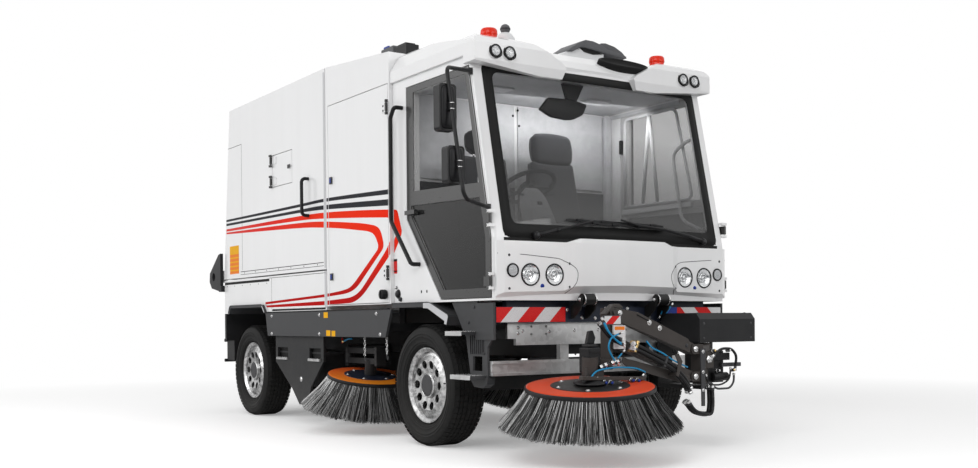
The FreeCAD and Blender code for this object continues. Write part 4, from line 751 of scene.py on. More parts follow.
def softened(edge, steps=7):
    """An edge with its corners turned into short curves; every corner gives the same number of points."""
    points = [Vector((x, z, 0)) for x, z, _ in edge]
    out = [points[0]]
    for k in range(1, len(points) - 1):
        corner, radius = points[k], edge[k][2]
        a, b = points[k - 1] - corner, points[k + 1] - corner
        start = corner + a.normalized() * min(radius, a.length * 0.48)
        stop = corner + b.normalized() * min(radius, b.length * 0.48)
        out += corner_curve(start, corner, stop, steps)
    return [(p.x, p.y) for p in out + [points[-1]]]


def lay_film(name, outlines, side):
    """Lays coloured film on one side of the body, cut at the panel seams, one piece for each body."""
    shapes = {}
    for panel, body, low, high in PANELS:
        y = side * ((CAB if panel == "cab" else BODY) + sizes().film)
        for coat, outline in outlines:
            cut = clipped(outline, low, high)
            if cut:
                shapes.setdefault(body, Shape()).sheet([(x, y, z) for x, z in cut], coat, (0, side, 0))
    for body, shape in shapes.items():
        shape.piece(f"{name}_{body}_{word(side)}", sided(body, side), "white_paint")


def word(side):
    return "left" if side > 0 else "right"


def sided(body, side):
    """The body of that name on one side of the machine."""
    return body if body in ("vehicle", "hopper") else f"{body}_{word(side)}"


def films():
    """The stripes' strips and the markers' oblongs, each as (finish, outline)."""
    outlines = []
    for coat, upper, lower in STRIPES:
        up, low = softened(upper), softened(lower)
        outlines += [(coat, [a, b, c, d]) for a, b, c, d in zip(up, up[1:], low[1:], low)]
    markers = [("yellow", (-3.68, 1.544), (-3.44, 1.613))]
    markers += [("orange", (-3.68, z), (-3.44, z + 0.028)) for z in (1.344, 1.384, 1.424, 1.464, 1.504)]
    markers += [("yellow", (-3.68, z), (-3.44, z + 0.012)) for z in (1.372, 1.412, 1.452, 1.492, 1.532)]
    return outlines, [(coat, [low, (high[0], low[1]), high, (low[0], high[1])]) for coat, low, high in markers]


def plain_patches():
    """Small plates on the cab's side and the skirt."""
    patches = Shape()
    # small plates on the cab side and the skirt: (finish, x, z, width, height, half width of the body)
    for coat, x, z, wide, high, y in (("red_sheet", -0.409, 1.272, 0.05, 0.105, CAB),
            ("white_sheet", -0.409, 1.318, 0.05, 0.018, CAB), ("white_sheet", -0.409, 1.236, 0.05, 0.008, CAB),
            ("yellow", -1.531, 0.929, 0.078, 0.046, BODY), ("yellow", -1.487, 0.783, 0.078, 0.046, BODY),
            ("yellow", -1.392, 0.78, 0.068, 0.044, BODY)):
        for side in (-1, 1):
            face = side * (y + 0.0012)
            patches.sheet([(x - wide / 2, face, z - high / 2), (x + wide / 2, face, z - high / 2),
                (x + wide / 2, face, z + high / 2), (x - wide / 2, face, z + high / 2)], coat, (0, side, 0))
    patches.piece("plain_patches", "vehicle", "white_paint")


class SWEEPER_OT_livery(bpy.types.Operator):
    """Lay the coloured stripes and plain markers on both sides of the body"""
    bl_idname = "sweeper.livery"
    bl_label = "Lay the stripes"

    def execute(self, context):
        stripes, markers = films()
        for side in (-1, 1):
            lay_film("stripes", stripes, side)
            lay_film("markers", markers, side)
        plain_patches()
        return {"FINISHED"}


# ---- tyres and wheels

TYRE_R, BEAD_R, FLANGE_R = 0.425, 0.247, 0.263     # radii of the tread, the bead and the rim's flange


def wheel_centre(wheel):
    """The middle of a wheel, from the box of its tyre."""
    low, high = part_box(f"tyre_{wheel}")
    return Vector(((low[0] + high[0]) / 2 - AXLE_X, (low[1] + high[1]) / 2, (low[2] + high[2]) / 2))


def tyre(wheel):
    """A road tyre: carcass with sidewall rings, ribs and blocks around the tread, and shoulder lugs."""
    centre = wheel_centre(wheel)
    floor = TYRE_R - sizes().tread_depth
    shape = Shape()
    flank = [(BEAD_R, 0.078), (FLANGE_R + 0.004, 0.083), (FLANGE_R + 0.012, 0.093), (0.284, 0.108),
        (0.288, 0.1125), (0.291, 0.1125), (0.294, 0.11), (0.3, 0.1155), (0.303, 0.1185), (0.307, 0.1185),
        (0.31, 0.117), (0.335, 0.1245), (0.338, 0.128), (0.342, 0.128), (0.345, 0.1255), (0.353, 0.1265),
        (0.356, 0.1295), (0.361, 0.1295), (0.364, 0.127), (0.376, 0.126), (0.39, 0.121), (0.402, 0.114),
        (floor, 0.102)]
    shape.turned(flank + [(r, -h) for r, h in reversed(flank)], centre, (0, 1, 0), "rubber", 96)
    count = sizes().blocks
    # rows of blocks: (inner edge, outer edge, twist along the row, share of the pitch)
    rows = ((-0.015, 0.015, 0.0, 0.93), (0.02, 0.049, 0.03, 0.9), (0.054, 0.082, 0.04, 0.9),
        (0.087, 0.119, 0.02, 0.86))
    for near, far, twist, share in rows:
        for hand in (-1, 1) if near > 0 else (1,):
            for k in range(count):
                start = tau * (k + (0.5 if hand > 0 else 0.0)) / count
                width = tau / count * share
                points = []
                for radius in (floor - 0.003, TYRE_R):
                    for edge in (near, far):
                        shoulder = edge > 0.1 and radius == TYRE_R
                        top = radius - (0.011 if shoulder else 0.0)
                        swing = twist * (edge - near) / 0.035 * hand
                        y = hand * (edge - (0.006 if shoulder else 0.0))
                        points += [(centre.x + top * cos(a), centre.y + y, centre.z + top * sin(a))
                            for a in (start + swing, start + swing + width)]
                shape.faces(points, Shape.BLOCK, "rubber")
    shape.piece(f"tread_{wheel}", f"wheel_{wheel}", "tyre_rubber", (f"tyre_{wheel}",))


WHEELS = ("front_left", "front_right", "rear_left", "rear_right")


class SWEEPER_OT_tyres(bpy.types.Operator):
    """Make the four road tyres with their tread"""
    bl_idname = "sweeper.tyres"
    bl_label = "Make the tyres"

    def execute(self, context):
        for wheel in WHEELS:
            tyre(wheel)
        return {"FINISHED"}


def wheel_trim(wheel):
    """Hub cap with its screws, edge ring, a dark plate whose black in the hand holes is painted shade, and valve
    of one wheel.
    """
    side = 1 if "left" in wheel else -1
    centre, out = wheel_centre(wheel), Vector((0, side, 0))
    shape = Shape()
    # distances from the wheel's middle: disc face 0.067, hub cap 0.095
    cap = [(0.0, 0.0965), (0.06, 0.0965), (0.074, 0.0955), (0.0765, 0.0935), (0.0765, 0.088), (0.0, 0.088)]
    shape.turned(cap, centre, out, "cap", 64)
    ring = [(0.079, 0.0895), (0.082, 0.0925), (0.0865, 0.0915), (0.0885, 0.087), (0.0885, 0.08), (0.079, 0.08)]
    shape.turned(ring, centre, out, "rim", 64)
    # dark plate behind the hand holes: painted shade seen through them
    shape.turned([(0.11, 0.028), (0.19, 0.028), (0.19, 0.031), (0.11, 0.031)], centre, out, "seal", 48)
    for k in range(5):
        turn = tau * (k + 0.5) / 5
        spot = centre + Vector((cos(turn) * 0.06, 0, sin(turn) * 0.06)) + out * 0.0966
        shape.turned([(0.0, 0.0016), (0.0035, 0.0014), (0.0042, 0.0), (0.0, 0.0)], spot, out, "black", 12)
    valve = centre + Vector((0.222, 0, 0.02))
    shape.tube([valve + out * 0.055, valve + out * 0.085, valve + out * 0.092], 0.0045, "black", 10)
    shape.piece(f"wheel_trim_{wheel}", f"wheel_{wheel}", "polished_rim")


class SWEEPER_OT_wheel_trim(bpy.types.Operator):
    """Fit hub caps, rims' edge rings, painted shade behind the hand holes and valves to the wheels"""
    bl_idname = "sweeper.wheel_trim"
    bl_label = "Fit the wheel trim"

    def execute(self, context):
        for wheel in WHEELS:
            wheel_trim(wheel)
        return {"FINISHED"}


# ---- brushes

# disc brushes: body and node, centre, radius of the disc and of the tips, drop of the bristles,
# tilt and its heading in degrees, finish of the ring
BRUSHES = (
    ("front_brush", (1.355, -0.64, 0.473), 0.404, 0.582, 0.24, 6.4, -37.5, "disc"),
    ("side_brush_right", (-1.247, -0.8, 0.449), 0.342, 0.545, 0.256, 9.8, 0.0, "disc_amber"),
    ("side_brush_left", (-1.247, 0.8, 0.449), 0.342, 0.545, 0.256, 9.8, 0.0, "disc_amber"),
)
DISC_T = 0.03


def disc_brush(name, at, disc_r, tip_r, drop, tilt, heading, ring):
    """A brush disc with its bolts and rubber edge, and the bristles round it in clumps."""
    turn = rotated(heading, "Z")
    lean = Matrix.Translation(at) @ turn @ rotated(tilt, "Y") @ turn.inverted()
    axis, centre, t = lean.to_3x3() @ Vector(UP), Vector(at), DISC_T
    shape = Shape()
    shape.knob([(disc_r * 0.62, -0.004), (disc_r * 0.64, -0.0045), (disc_r * 0.93, -0.006),
        (disc_r - 0.008, -0.0085), (disc_r - 0.008, -t)], centre, axis, ring, 128)
    shape.turned([(disc_r - 0.0085, -0.0082), (disc_r - 0.002, -0.0088), (disc_r, -0.012), (disc_r, -t),
        (disc_r - 0.003, -t - 0.006), (disc_r * 0.8, -t - 0.006), (disc_r * 0.8, -t + 0.002),
        (disc_r - 0.0085, -t + 0.002)], centre, axis, "black", 128)
    shape.knob([(disc_r * 0.585, -0.0005), (disc_r * 0.605, -0.002), (disc_r * 0.61, -0.005)], centre, axis,
        "beam", 96)
    for k in range(6):
        hub = lean @ Matrix.Rotation(tau * (k + 0.3) / 6, 4, "Z") @ Vector((disc_r * 0.53, 0, -0.0005))
        shape.knob([(0.008, 0.007), (0.0095, 0.005), (0.0095, 0.0)], hub, axis, "steel", 6, smooth=False)
        shape.knob([(0.015, 0.0016), (0.016, 0.0)], hub, axis, "steel", 24)
    shape.piece(name + "_disc", name, "bristle", (name,))
    # dark core that the bristles stand round: it stands in for the dense bristles and paints the shade among them
    spread = tip_r - disc_r
    shape = Shape()
    shape.turned([(disc_r - 0.052, -t - 0.006), (disc_r - 0.03, -t - 0.006),
        (disc_r + spread * 0.42, -t - drop * 0.62), (disc_r + spread * 0.4, -t - drop * 0.64),
        (disc_r - 0.06, -t - drop * 0.2)], centre, axis, "root", 96)
    shape.piece(name + "_core", name, "bristle")
    random.seed(name)
    clumps = 420
    length_of = [random.uniform(-0.012, 0.006) for _ in range(clumps)]
    lean_of = [random.uniform(-0.016, 0.016) for _ in range(clumps)]
    # painted light: each bristle takes the mid, the shaded or the lit copy of the bristle finish
    lit_and_shaded_copies = ("bristle", "bristle", "bristle_painted_shade", "bristle_painted_shade", "bristle_painted_shade", "bristle_painted_highlight",
        "bristle_painted_highlight", "bristle_painted_highlight")
    paths = []
    for k in range(sizes().bristles):
        angle = random.random() * tau
        clump = int(angle / tau * clumps)
        layer = random.random() ** 0.6
        root = disc_r * 0.84 + (disc_r * 0.16 - 0.005) * layer
        tip = tip_r - 0.008 - (1 - layer) * 0.1 - random.random() * 0.01 + min(length_of[clump], 0.0)
        fall = drop - 0.008 - random.random() ** 2 * 0.022 + min(length_of[clump], 0.0)
        swing = lean_of[clump] + random.uniform(-0.02, 0.02)
        path = []
        for u in (0.0, 0.4, 1.0):
            radius = root + (tip - root) * (0.86 * u + 0.14 * u * u)
            turn = angle + swing * u * u
            path.append(lean @ Vector((radius * cos(turn), radius * sin(turn),
                -t - 0.001 - fall * (1.08 * u - 0.08 * u * u))))
        paths.append((path, random.choice(lit_and_shaded_copies)))
    strands(name + "_bristles", name, paths, sizes().bristle, ("bristle", "bristle_painted_shade", "bristle_painted_highlight"))


def strands(name, body, paths, thick, coats):
    """Many straight-sided bristles as one piece; each path comes with its finish."""
    points, faces, slots = [], [], []
    for path, coat in paths:
        along = (path[-1] - path[0]).normalized()
        first = along.orthogonal().normalized()
        second = along.cross(first)
        base = len(points)
        for k, p in enumerate(path):
            reach = thick * (1.0 - 0.35 * k / (len(path) - 1))
            for j in range(3):
                t = tau * j / 3
                points.append(p + (first * cos(t) + second * sin(t)) * reach)
        for k in range(len(path) - 1):
            for j in range(3):
                a, b = base + 3 * k + j, base + 3 * k + (j + 1) % 3
                faces.append((a, b, b + 3, a + 3))
                slots.append(coats.index(coat))
        end = len(points) - 3
        faces.append((end, end + 1, end + 2))
        slots.append(coats.index(coat))
    data = bpy.data.meshes.new(name)
    data.from_pydata([(p.x + AXLE_X, p.y, p.z) for p in points], [], faces)
    for coat in coats:
        data.materials.append(finish(coat))
    data.polygons.foreach_set("material_index", slots)
    made = bpy.data.objects.new(name, data)
    bpy.context.scene.collection.objects.link(made)
    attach(made, body)


def roller():
    """The cylindrical brush: a core with spiral rows of tufts, inside the sweeping housing."""
    low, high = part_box("roller_brush")
    x, z = (low[0] + high[0]) / 2 - AXLE_X, (low[2] + high[2]) / 2
    half, radius = 0.958, 0.19
    rows, tufts = 12, 420
    shape = Shape()
    axis = Vector((0, 1, 0))
    shape.knob([(0.105, -half), (0.105, half)], Vector((x, 0, z)), axis, "frame", 32)
    shape.knob([(0.0218, -half - 0.055), (0.0218, half + 0.055)], Vector((x, 0, z)), axis, "steel", 24)
    shape.piece("roller_core", "roller", "bristle", ("roller_brush",))
    random.seed("roller")
    paths = []
    for row in range(rows):
        for _ in range(tufts):
            y = random.uniform(-half + 0.006, half - 0.006)
            a = tau * row / rows + y * 1.1 + random.uniform(-0.09, 0.09)
            reach = radius - 0.002 - random.random() * 0.005
            # painted shade: each tuft takes the mid or the shaded copy of the bristle finish
            paths.append(([Vector((x + 0.1 * cos(a), y, z + 0.1 * sin(a))), Vector((x + reach * cos(a + 0.05), y,
                z + reach * sin(a + 0.05)))], random.choice(("bristle", "bristle_painted_shade"))))
    strands("roller_bristles", "roller", paths, 0.0026, ("bristle", "bristle_painted_shade"))


class SWEEPER_OT_brushes(bpy.types.Operator):
    """Make the disc brushes and the roller with their bristles"""
    bl_idname = "sweeper.brushes"
    bl_label = "Make the brushes"

    def execute(self, context):
        for row in BRUSHES:
            disc_brush(*row)
        roller()
        return {"FINISHED"}


# ---- cab front

LEAN, KINK = 0.265 / 1.2, 1.4           # how the cab's front leans back above the kink


def cab_x(z):
    """The cab's front plane at its edges."""
    return 0.865 - max(0.0, z - KINK) * LEAN


def screen_at(y, z, out=0.0):
    """A point on the bowed front, or out from it."""
    return Vector((cab_x(z) + 0.04 * (1 - (y / 0.985) ** 2) + out, y, z + out * LEAN))


def ring_points(half, low, high, radius, per_side=14, per_corner=6):
    """Points round a rounded rectangle in (y, z), the same number whatever its size."""
    corners = ((half - radius, high - radius, 0), (-half + radius, high - radius, 90),
        (-half + radius, low + radius, 180), (half - radius, low + radius, 270))
    points = []
    for k, (y, z, turn) in enumerate(corners):
        for s in range(per_corner + 1):
            a = radians(turn + 90 * s / per_corner)
            points.append((y + radius * cos(a), z + radius * sin(a)))
        end = points[-1]
        y, z, turn = corners[(k + 1) % 4]
        a = radians(turn)
        start = (y + radius * cos(a), z + radius * sin(a))
        points += [(end[0] + (start[0] - end[0]) * s / per_side, end[1] + (start[1] - end[1]) * s / per_side)
            for s in range(1, per_side)]
    return points


# wiper arms and blades: points (y, z) from the spindle out, then the blade's ends
WIPERS = (
    (((-0.711, 1.411), (-0.645, 1.426), (-0.546, 1.45), (-0.252, 1.516)), ((-0.448, 1.529), (0.4, 1.516))),
    (((0.77, 1.42), (0.619, 1.451), (0.384, 1.486), (0.139, 1.504), (-0.02, 1.533)),
        ((-0.303, 1.514), (0.406, 1.497))),
)


def screen_border():
    """The black border round the windscreen and the strip below it; the border's top also paints the shadow under
    the roof's lip.
    """
    border = Shape()
    # the outer ring reaches up to 2.56, where its black is partly frit and partly painted shadow under the roof's
    # lip
    outer, inner = ring_points(0.94, 1.401, 2.56, 0.05), ring_points(0.866, 1.492, 2.5, 0.05)
    rings = [[screen_at(*p, out) for p in ring] for ring, out in ((outer, 0.0008), (outer, 0.0016),
        (inner, 0.0016), (inner, 0.0008))]
    border.loft(rings, "seal", smooth=True, capped=False)
    # upright strip below the kink, down behind the fascia
    for k in range(24):
        ends = (-0.94 + 1.88 * k / 24, -0.94 + 1.88 * (k + 1) / 24)
        border.faces([(screen_at(y, KINK, out).x, y, z) for out in (0.0004, 0.0016) for y in ends
            for z in (1.345, 1.4015)], Shape.BLOCK, "seal")
    border.piece("screen_border", "vehicle", "dark_grey_paint")


def wiper_set():
    """Both wipers: spindle, tapered arm, pivot and blade with its claws."""
    wipers = Shape()
    for arm, ((y0, z0), (y1, z1)) in WIPERS:
        spindle = screen_at(*arm[0], 0.0)
        out = Vector((1, 0, LEAN)).normalized()
        wipers.knob([(0.01, 0.046), (0.02, 0.042), (0.025, 0.034), (0.026, 0.014), (0.018, 0.008), (0.018, 0.0)],
            spindle, out, "black", 28)
        wipers.knob([(0.008, 0.0485), (0.01, 0.046)], spindle, out, "cap", 20)
        wipers.tube([screen_at(*p, 0.028 + 0.006 * k) for k, p in enumerate(arm)],
            [0.0135, 0.0125, 0.01, 0.0075, 0.006][:len(arm)], "black", 12)
        far = screen_at(*arm[-2], 0.04)
        wipers.knob([(0.01, 0.012), (0.013, 0.009), (0.013, -0.009)], far, out, "black", 20)

        def along(t, out):
            return screen_at(y0 + (y1 - y0) * t, z0 + (z1 - z0) * t, out)

        half = Vector((0, 0, 0.006))
        for k in range(24):
            points = []
            for t in (k / 24, (k + 1) / 24):
                foot, top = along(t, 0.004), along(t, 0.016 + 0.008 * sin(pi * t))
                points += [foot - half * 0.4, foot + half * 0.4, top - half, top + half]
            wipers.faces(points, Shape.BLOCK, "black")
        for t in (0.12, 0.36, 0.64, 0.88):
            at = along(t, 0.022)
            wipers.box(at - Vector((0.005, 0.028, 0.009)), at + Vector((0.008, 0.028, 0.009)), "black", 0.004)
    wipers.piece("wipers", "vehicle", "black_paint")


def interior_mirror():
    """The mirror behind the top of the windscreen, with its stem."""
    mirror = Shape()
    corners = [Vector((0, y, z)) for y, z in ((-0.352, 2.335), (-0.277, 2.424), (-0.057, 2.43), (0.064, 2.405),
        (0.026, 2.329), (-0.058, 2.289), (-0.122, 2.281), (-0.247, 2.29))]
    soft = rounded(corners[-1:] + corners + corners[:1], 0.016, 4)[1:-1]
    outline = [(p.y, p.z) for p in soft]
    mirror.prism(outline, "yz", 0.438, 0.47, "black", 0.006, smooth=True)
    inset = [(-0.14 + (y + 0.14) * 0.93, 2.358 + (z - 2.358) * 0.84) for y, z in outline]
    mirror.prism(inset, "yz", 0.435, 0.4382, "mirror", 0.0)
    mirror.prism([(-0.12, 2.425), (-0.033, 2.42), (0.03, 2.5365), (-0.158, 2.5365)], "yz", 0.446, 0.478, "black",
        0.006)
    mirror.piece("interior_mirror", "vehicle", "black_paint")


class SWEEPER_OT_screen(bpy.types.Operator):
    """Fit the windscreen's black border, its wipers and the interior mirror"""
    bl_idname = "sweeper.screen"
    bl_label = "Fit the windscreen trim"

    def execute(self, context):
        screen_border()
        wiper_set()
        interior_mirror()
        return {"FINISHED"}


# ---- cab inside

def pad(half, place, crown, channels=(), pull=0.04, radius=0.045, cells=26):
    """A stuffed cushion about its own middle: crowned, drawn in between its corners, sewn along its channels.

    channels lists lines across the top as (axis, offset as a share of the half size).
    """
    shape = Shape()
    points, faces, index = [], [], {}

    def vertex(u, v, w):
        key = (round(u, 5), round(v, 5), round(w, 5))
        if key in index:
            return index[key]
        at = Vector((u * half[0], v * half[1], w * half[2]))
        reach = Vector([h - radius for h in half])
        core = Vector([max(-r, min(r, c)) for r, c in zip(reach, at)])
        away = at - core
        at = core + (away.normalized() * radius if away.length else away)
        at.x *= 1 - pull * (1 - v * v) * abs(u)
        at.y *= 1 - pull * (1 - u * u) * abs(v)
        at.z += crown * (1 - u ** 4) * (1 - v ** 4) * w
        if w > 0:
            for axis, share in channels:
                distance = ((u if axis == 0 else v) - share) * half[axis]
                at.z -= 0.01 * exp(-(distance / 0.009) ** 2) * w
        index[key] = len(points)
        points.append(place @ at)
        return index[key]

    steps = [2 * k / cells - 1 for k in range(cells + 1)]
    for fixed in range(3):
        for level in (-1, 1):
            for a, b in zip(steps, steps[1:]):
                for c, d in zip(steps, steps[1:]):
                    quad = []
                    for p, q in ((a, c), (b, c), (b, d), (a, d)):
                        corner = [p, q]
                        corner.insert(fixed, level)
                        quad.append(vertex(*corner))
                    faces.append(tuple(quad))
    shape.faces(points, faces, "cloth", smooth=True)
    # piping along the upper seam
    seam = []
    for k in range(64):
        t = tau * k / 64
        u, v = cos(t), sin(t)
        most = max(abs(u), abs(v))
        u, v = u / most, v / most
        round_off = 1 - 0.12 * (1 - abs(abs(u) - abs(v))) ** 8
        seam.append(place @ Vector((u * half[0] * round_off * (1 - pull * (1 - v * v)) * 0.985,
            v * half[1] * round_off * (1 - pull * (1 - u * u)) * 0.985, half[2] * 0.55)))
    shape.tube(seam + seam[:1], 0.004, "cloth", 6)
    return shape


def seat(name, middle, half, head_half, head_top):
    """A cloth seat: cushion, back and headrest as stuffed pads over a pedestal."""
    lean = rotated(-14.5, "Y")
    cushion = pad((0.235, half - 0.006, 0.066), Matrix.Translation((0.222, middle, 1.484)) @ rotated(-4, "Y"),
        0.01, ((0, -0.3), (0, 0.35), (1, -0.62), (1, 0.62)))
    back = pad((0.3, half - 0.016, 0.052), Matrix.Translation((-0.062, middle, 1.782)) @ lean @ rotated(90,
        "Y") @ rotated(180, "X"), 0.008, ((0, -0.35), (0, 0.1), (0, 0.5), (1, -0.64), (1, 0.64)))
    wide = head_half > 0.15
    low = 2.046 if wide else 2.09
    head = pad(((head_top - low) * 0.465, head_half * 0.9, 0.036), Matrix.Translation((-0.117, middle,
        (head_top + low - 0.002) / 2)) @ rotated(-5, "Y") @ rotated(90, "Y") @ rotated(180, "X"), 0.004,
        ((1, 0.0),) if wide else (), pull=-0.13, radius=0.035)
    for part, shape in (("cushion", cushion), ("back", back), ("head", head)):
        shape.piece(f"{name}_{part}", "vehicle", "seat_cloth", (name,))
    stand = Shape()
    stand.box((0.03, middle - half + 0.07, 1.041), (0.37, middle + half - 0.07, 1.075), "cabin", 0.004)
    for k in range(6):
        z = 1.08 + 0.046 * k
        grow = 0.01 if k % 2 else 0.0
        stand.box((0.06 - grow, middle - half + 0.095 - grow, z), (0.34 + grow, middle + half - 0.095 + grow,
            z + 0.047), "seal", 0.012, smooth=True)
    stand.box((0.01, middle - half + 0.05, 1.357), (0.41, middle + half - 0.05, 1.418), "cabin", 0.01)
    for side in (-1, 1):
        y = middle + side * (half - 0.022)
        stand.tube([(-0.055, y, 1.46), (-0.1, y, 1.66), (-0.135, y, 2.05)], 0.009, "cabin", 10, 0.05)
        stand.tube([(-0.118, middle + side * head_half * 0.5, 2.05), (-0.118, middle + side * head_half * 0.5,
            2.11)], 0.007, "steel", 10)
    stand.piece(name + "_stand", "vehicle", "interior_moulding", (name,))


def cab_lining():
    """Linings of the cab's rear wall, roof and floor."""
    lining = Shape()
    # rear wall panels: (y from, y to, z from, z to, finish)
    for y0, y1, z0, z1, coat in ((-0.93, 0.015, 1.06, 1.9, "cabin"), (0.045, 0.93, 1.06, 1.9, "cabin"),
            (-0.93, 0.015, 1.92, 2.53, "lining"), (0.045, 0.885, 1.92, 2.53, "lining")):
        lining.box((-0.3785, y0, z0), (-0.366, y1, z1), coat, 0.006)
    lining.box((-0.378, 0.895, 1.1), (-0.335, 0.962, 2.53), "lining", 0.012)
    lining.box((-0.335, 0.9585, 2.505), (0.46, 0.97, 2.534), "lining", 0.004)
    for y, z in ((0.045, 2.5), (-0.001, 2.454), (0.057, 2.381)):
        lining.knob([(0.008, 0.006), (0.01, 0.0)], (-0.366, y, z), AHEAD, "black", 16)
    lining.box((-0.36, -0.9, 2.5365), (0.46, 0.9, 2.5485), "lining", 0.004)
    for y in (-0.45, 0.45):
        lining.box((0.02, y - 0.1, 2.522), (0.16, y + 0.1, 2.537), "white", 0.006)
    lining.box((-0.36, -0.95, 1.0405), (0.6, 0.95, 1.0465), "cabin", 0.002)
    lining.piece("cab_lining", "vehicle", "interior_moulding")


WHEEL_AT, WHEEL_TILT = Vector((0.47, -0.465, 1.79)), radians(62)
WHEEL_AXIS = Vector((-cos(WHEEL_TILT), 0, sin(WHEEL_TILT)))


def steering_column(column):
    """Boxed column cover: narrow under the wheel, wider at its foot, with a raised panel and a seam."""
    wheel = WHEEL_AT
    tip = around(*wheel, "Y", -28)
    rings = [[(wheel.x + dx * w, wheel.y + dy * h, wheel.z + z) for dx, dy in ((-1, -1), (1, -1), (1, 1),
        (-1, 1))] for z, w, h in ((-0.34, 0.05, 0.095), (-0.3, 0.058, 0.095), (-0.13, 0.056, 0.08),
        (-0.06, 0.045, 0.062), (-0.03, 0.034, 0.048))]
    column.loft(rings, "lining", 0.008, spin=tip)
    column.box((wheel.x + 0.05, wheel.y - 0.06, wheel.z - 0.29), (wheel.x + 0.064, wheel.y + 0.06,
        wheel.z - 0.15), "lining", 0.005, spin=tip)
    column.box((wheel.x + 0.062, wheel.y - 0.02, wheel.z - 0.19), (wheel.x + 0.068, wheel.y + 0.02,
        wheel.z - 0.165), "black", 0.002, spin=tip)
    for side in (-1, 1):
        start = wheel + WHEEL_AXIS * -0.075 + Vector((0, side * 0.05, 0))
        column.tube([start, start + Vector((0.01, side * 0.06, 0.012)), start + Vector((0.02, side * 0.13,
            0.02))], [0.008, 0.0065, 0.006], "black", 10)


def console(column):
    """Console: binnacle, display hood and controls over the driver's side, vents along the top."""
    column.prism([(0.665, 1.395), (0.8, 1.402), (0.795, 1.475), (0.74, 1.52), (0.69, 1.505)], "xz", -0.7, -0.24,
        "lining", 0.012)
    for k in range(4):
        at = Vector((0.662, -0.62 + 0.1 * k, 1.44))
        column.knob([(0.03, 0.004), (0.034, 0.008), (0.036, 0.0)], at + Vector((0.016, 0, 0)), (-1, 0, 0.25),
            "black", 24)
    column.box((0.575, 0.42, 1.375), (0.65, 0.6, 1.56), "lining", 0.012, spin=around(0.61, 0.5, 1.4, "Y", 18))
    for k in range(6):
        y = -0.86 + 0.32 * k
        for slat in range(5):
            column.box((0.7 + 0.018 * slat, y, 1.396), (0.708 + 0.018 * slat, y + 0.14, 1.402), "black", 0.0)


def wheel_boss():
    """The cap in the middle of the steering wheel."""
    boss = Shape()
    boss.turned([(0.0, 0.02), (0.03, 0.019), (0.052, 0.013), (0.056, 0.0125), (0.0, 0.0125)], WHEEL_AT,
        WHEEL_AXIS, "black", 32)
    boss.piece("wheel_boss", "steering_wheel", "interior_moulding")


def door_furniture():
    """Rails, posts, sills and latch inside both doors."""
    door = Shape()
    # the far door seen from inside: grab rail, its posts and its latch
    door.tube([(0.582, 0.952, 2.211), (0.575, 0.925, 2.2), (0.431, 0.918, 2.131), (0.522, 0.918, 1.619),
        (0.7, 0.925, 1.54), (0.705, 0.952, 1.529)], 0.013, "white", 12, 0.07)
    for low in ((0.045, 1.79), (0.215, 1.79)):
        door.tube([(0.12, 0.962, 2.485), (low[0], 0.962, low[1])], 0.015, "white", 12)
    # pale frame round the far window, inside the glass
    hole = [Vector((x, 0.96, z)) for x, z in ((-0.17, 1.775), (-0.17, 2.48), (0.42, 2.48), (0.6, 1.775))]
    door.tube(hole + hole[:1], 0.012, "white", 12, 0.06)
    door.box((-0.215, 0.936, 2.207), (-0.19, 0.9685, 2.319), "seal", 0.006)
    door.box((-0.19, 0.944, 1.715), (0.6, 0.9685, 1.752), "white", 0.006)
    door.piece("door_furniture_left", "cab_door_left", "interior_moulding")
    near = Shape()
    near.box((-0.19, -0.9685, 1.715), (0.6, -0.944, 1.752), "cabin", 0.006)
    near.tube([(0.582, -0.952, 2.211), (0.575, -0.925, 2.2), (0.56, -0.918, 1.64), (0.565, -0.952, 1.629)], 0.013,
        "white", 12, 0.05)
    near.piece("door_furniture_right", "cab_door_right", "interior_moulding")


class SWEEPER_OT_cabin(bpy.types.Operator):
    """Fit the seats, linings, wheel column, console and door furniture inside the cab"""
    bl_idname = "sweeper.cabin"
    bl_label = "Fit the cab inside"

    def execute(self, context):
        seat("driver_seat", -0.465, 0.235, 0.125, 2.26)
        seat("passenger_seat", 0.18, 0.22, 0.19, 2.29)
        cab_lining()
        column = Shape()
        steering_column(column)
        console(column)
        column.piece("console_details", "vehicle", "interior_moulding")
        wheel_boss()
        door_furniture()
        return {"FINISHED"}


# ---- lamps

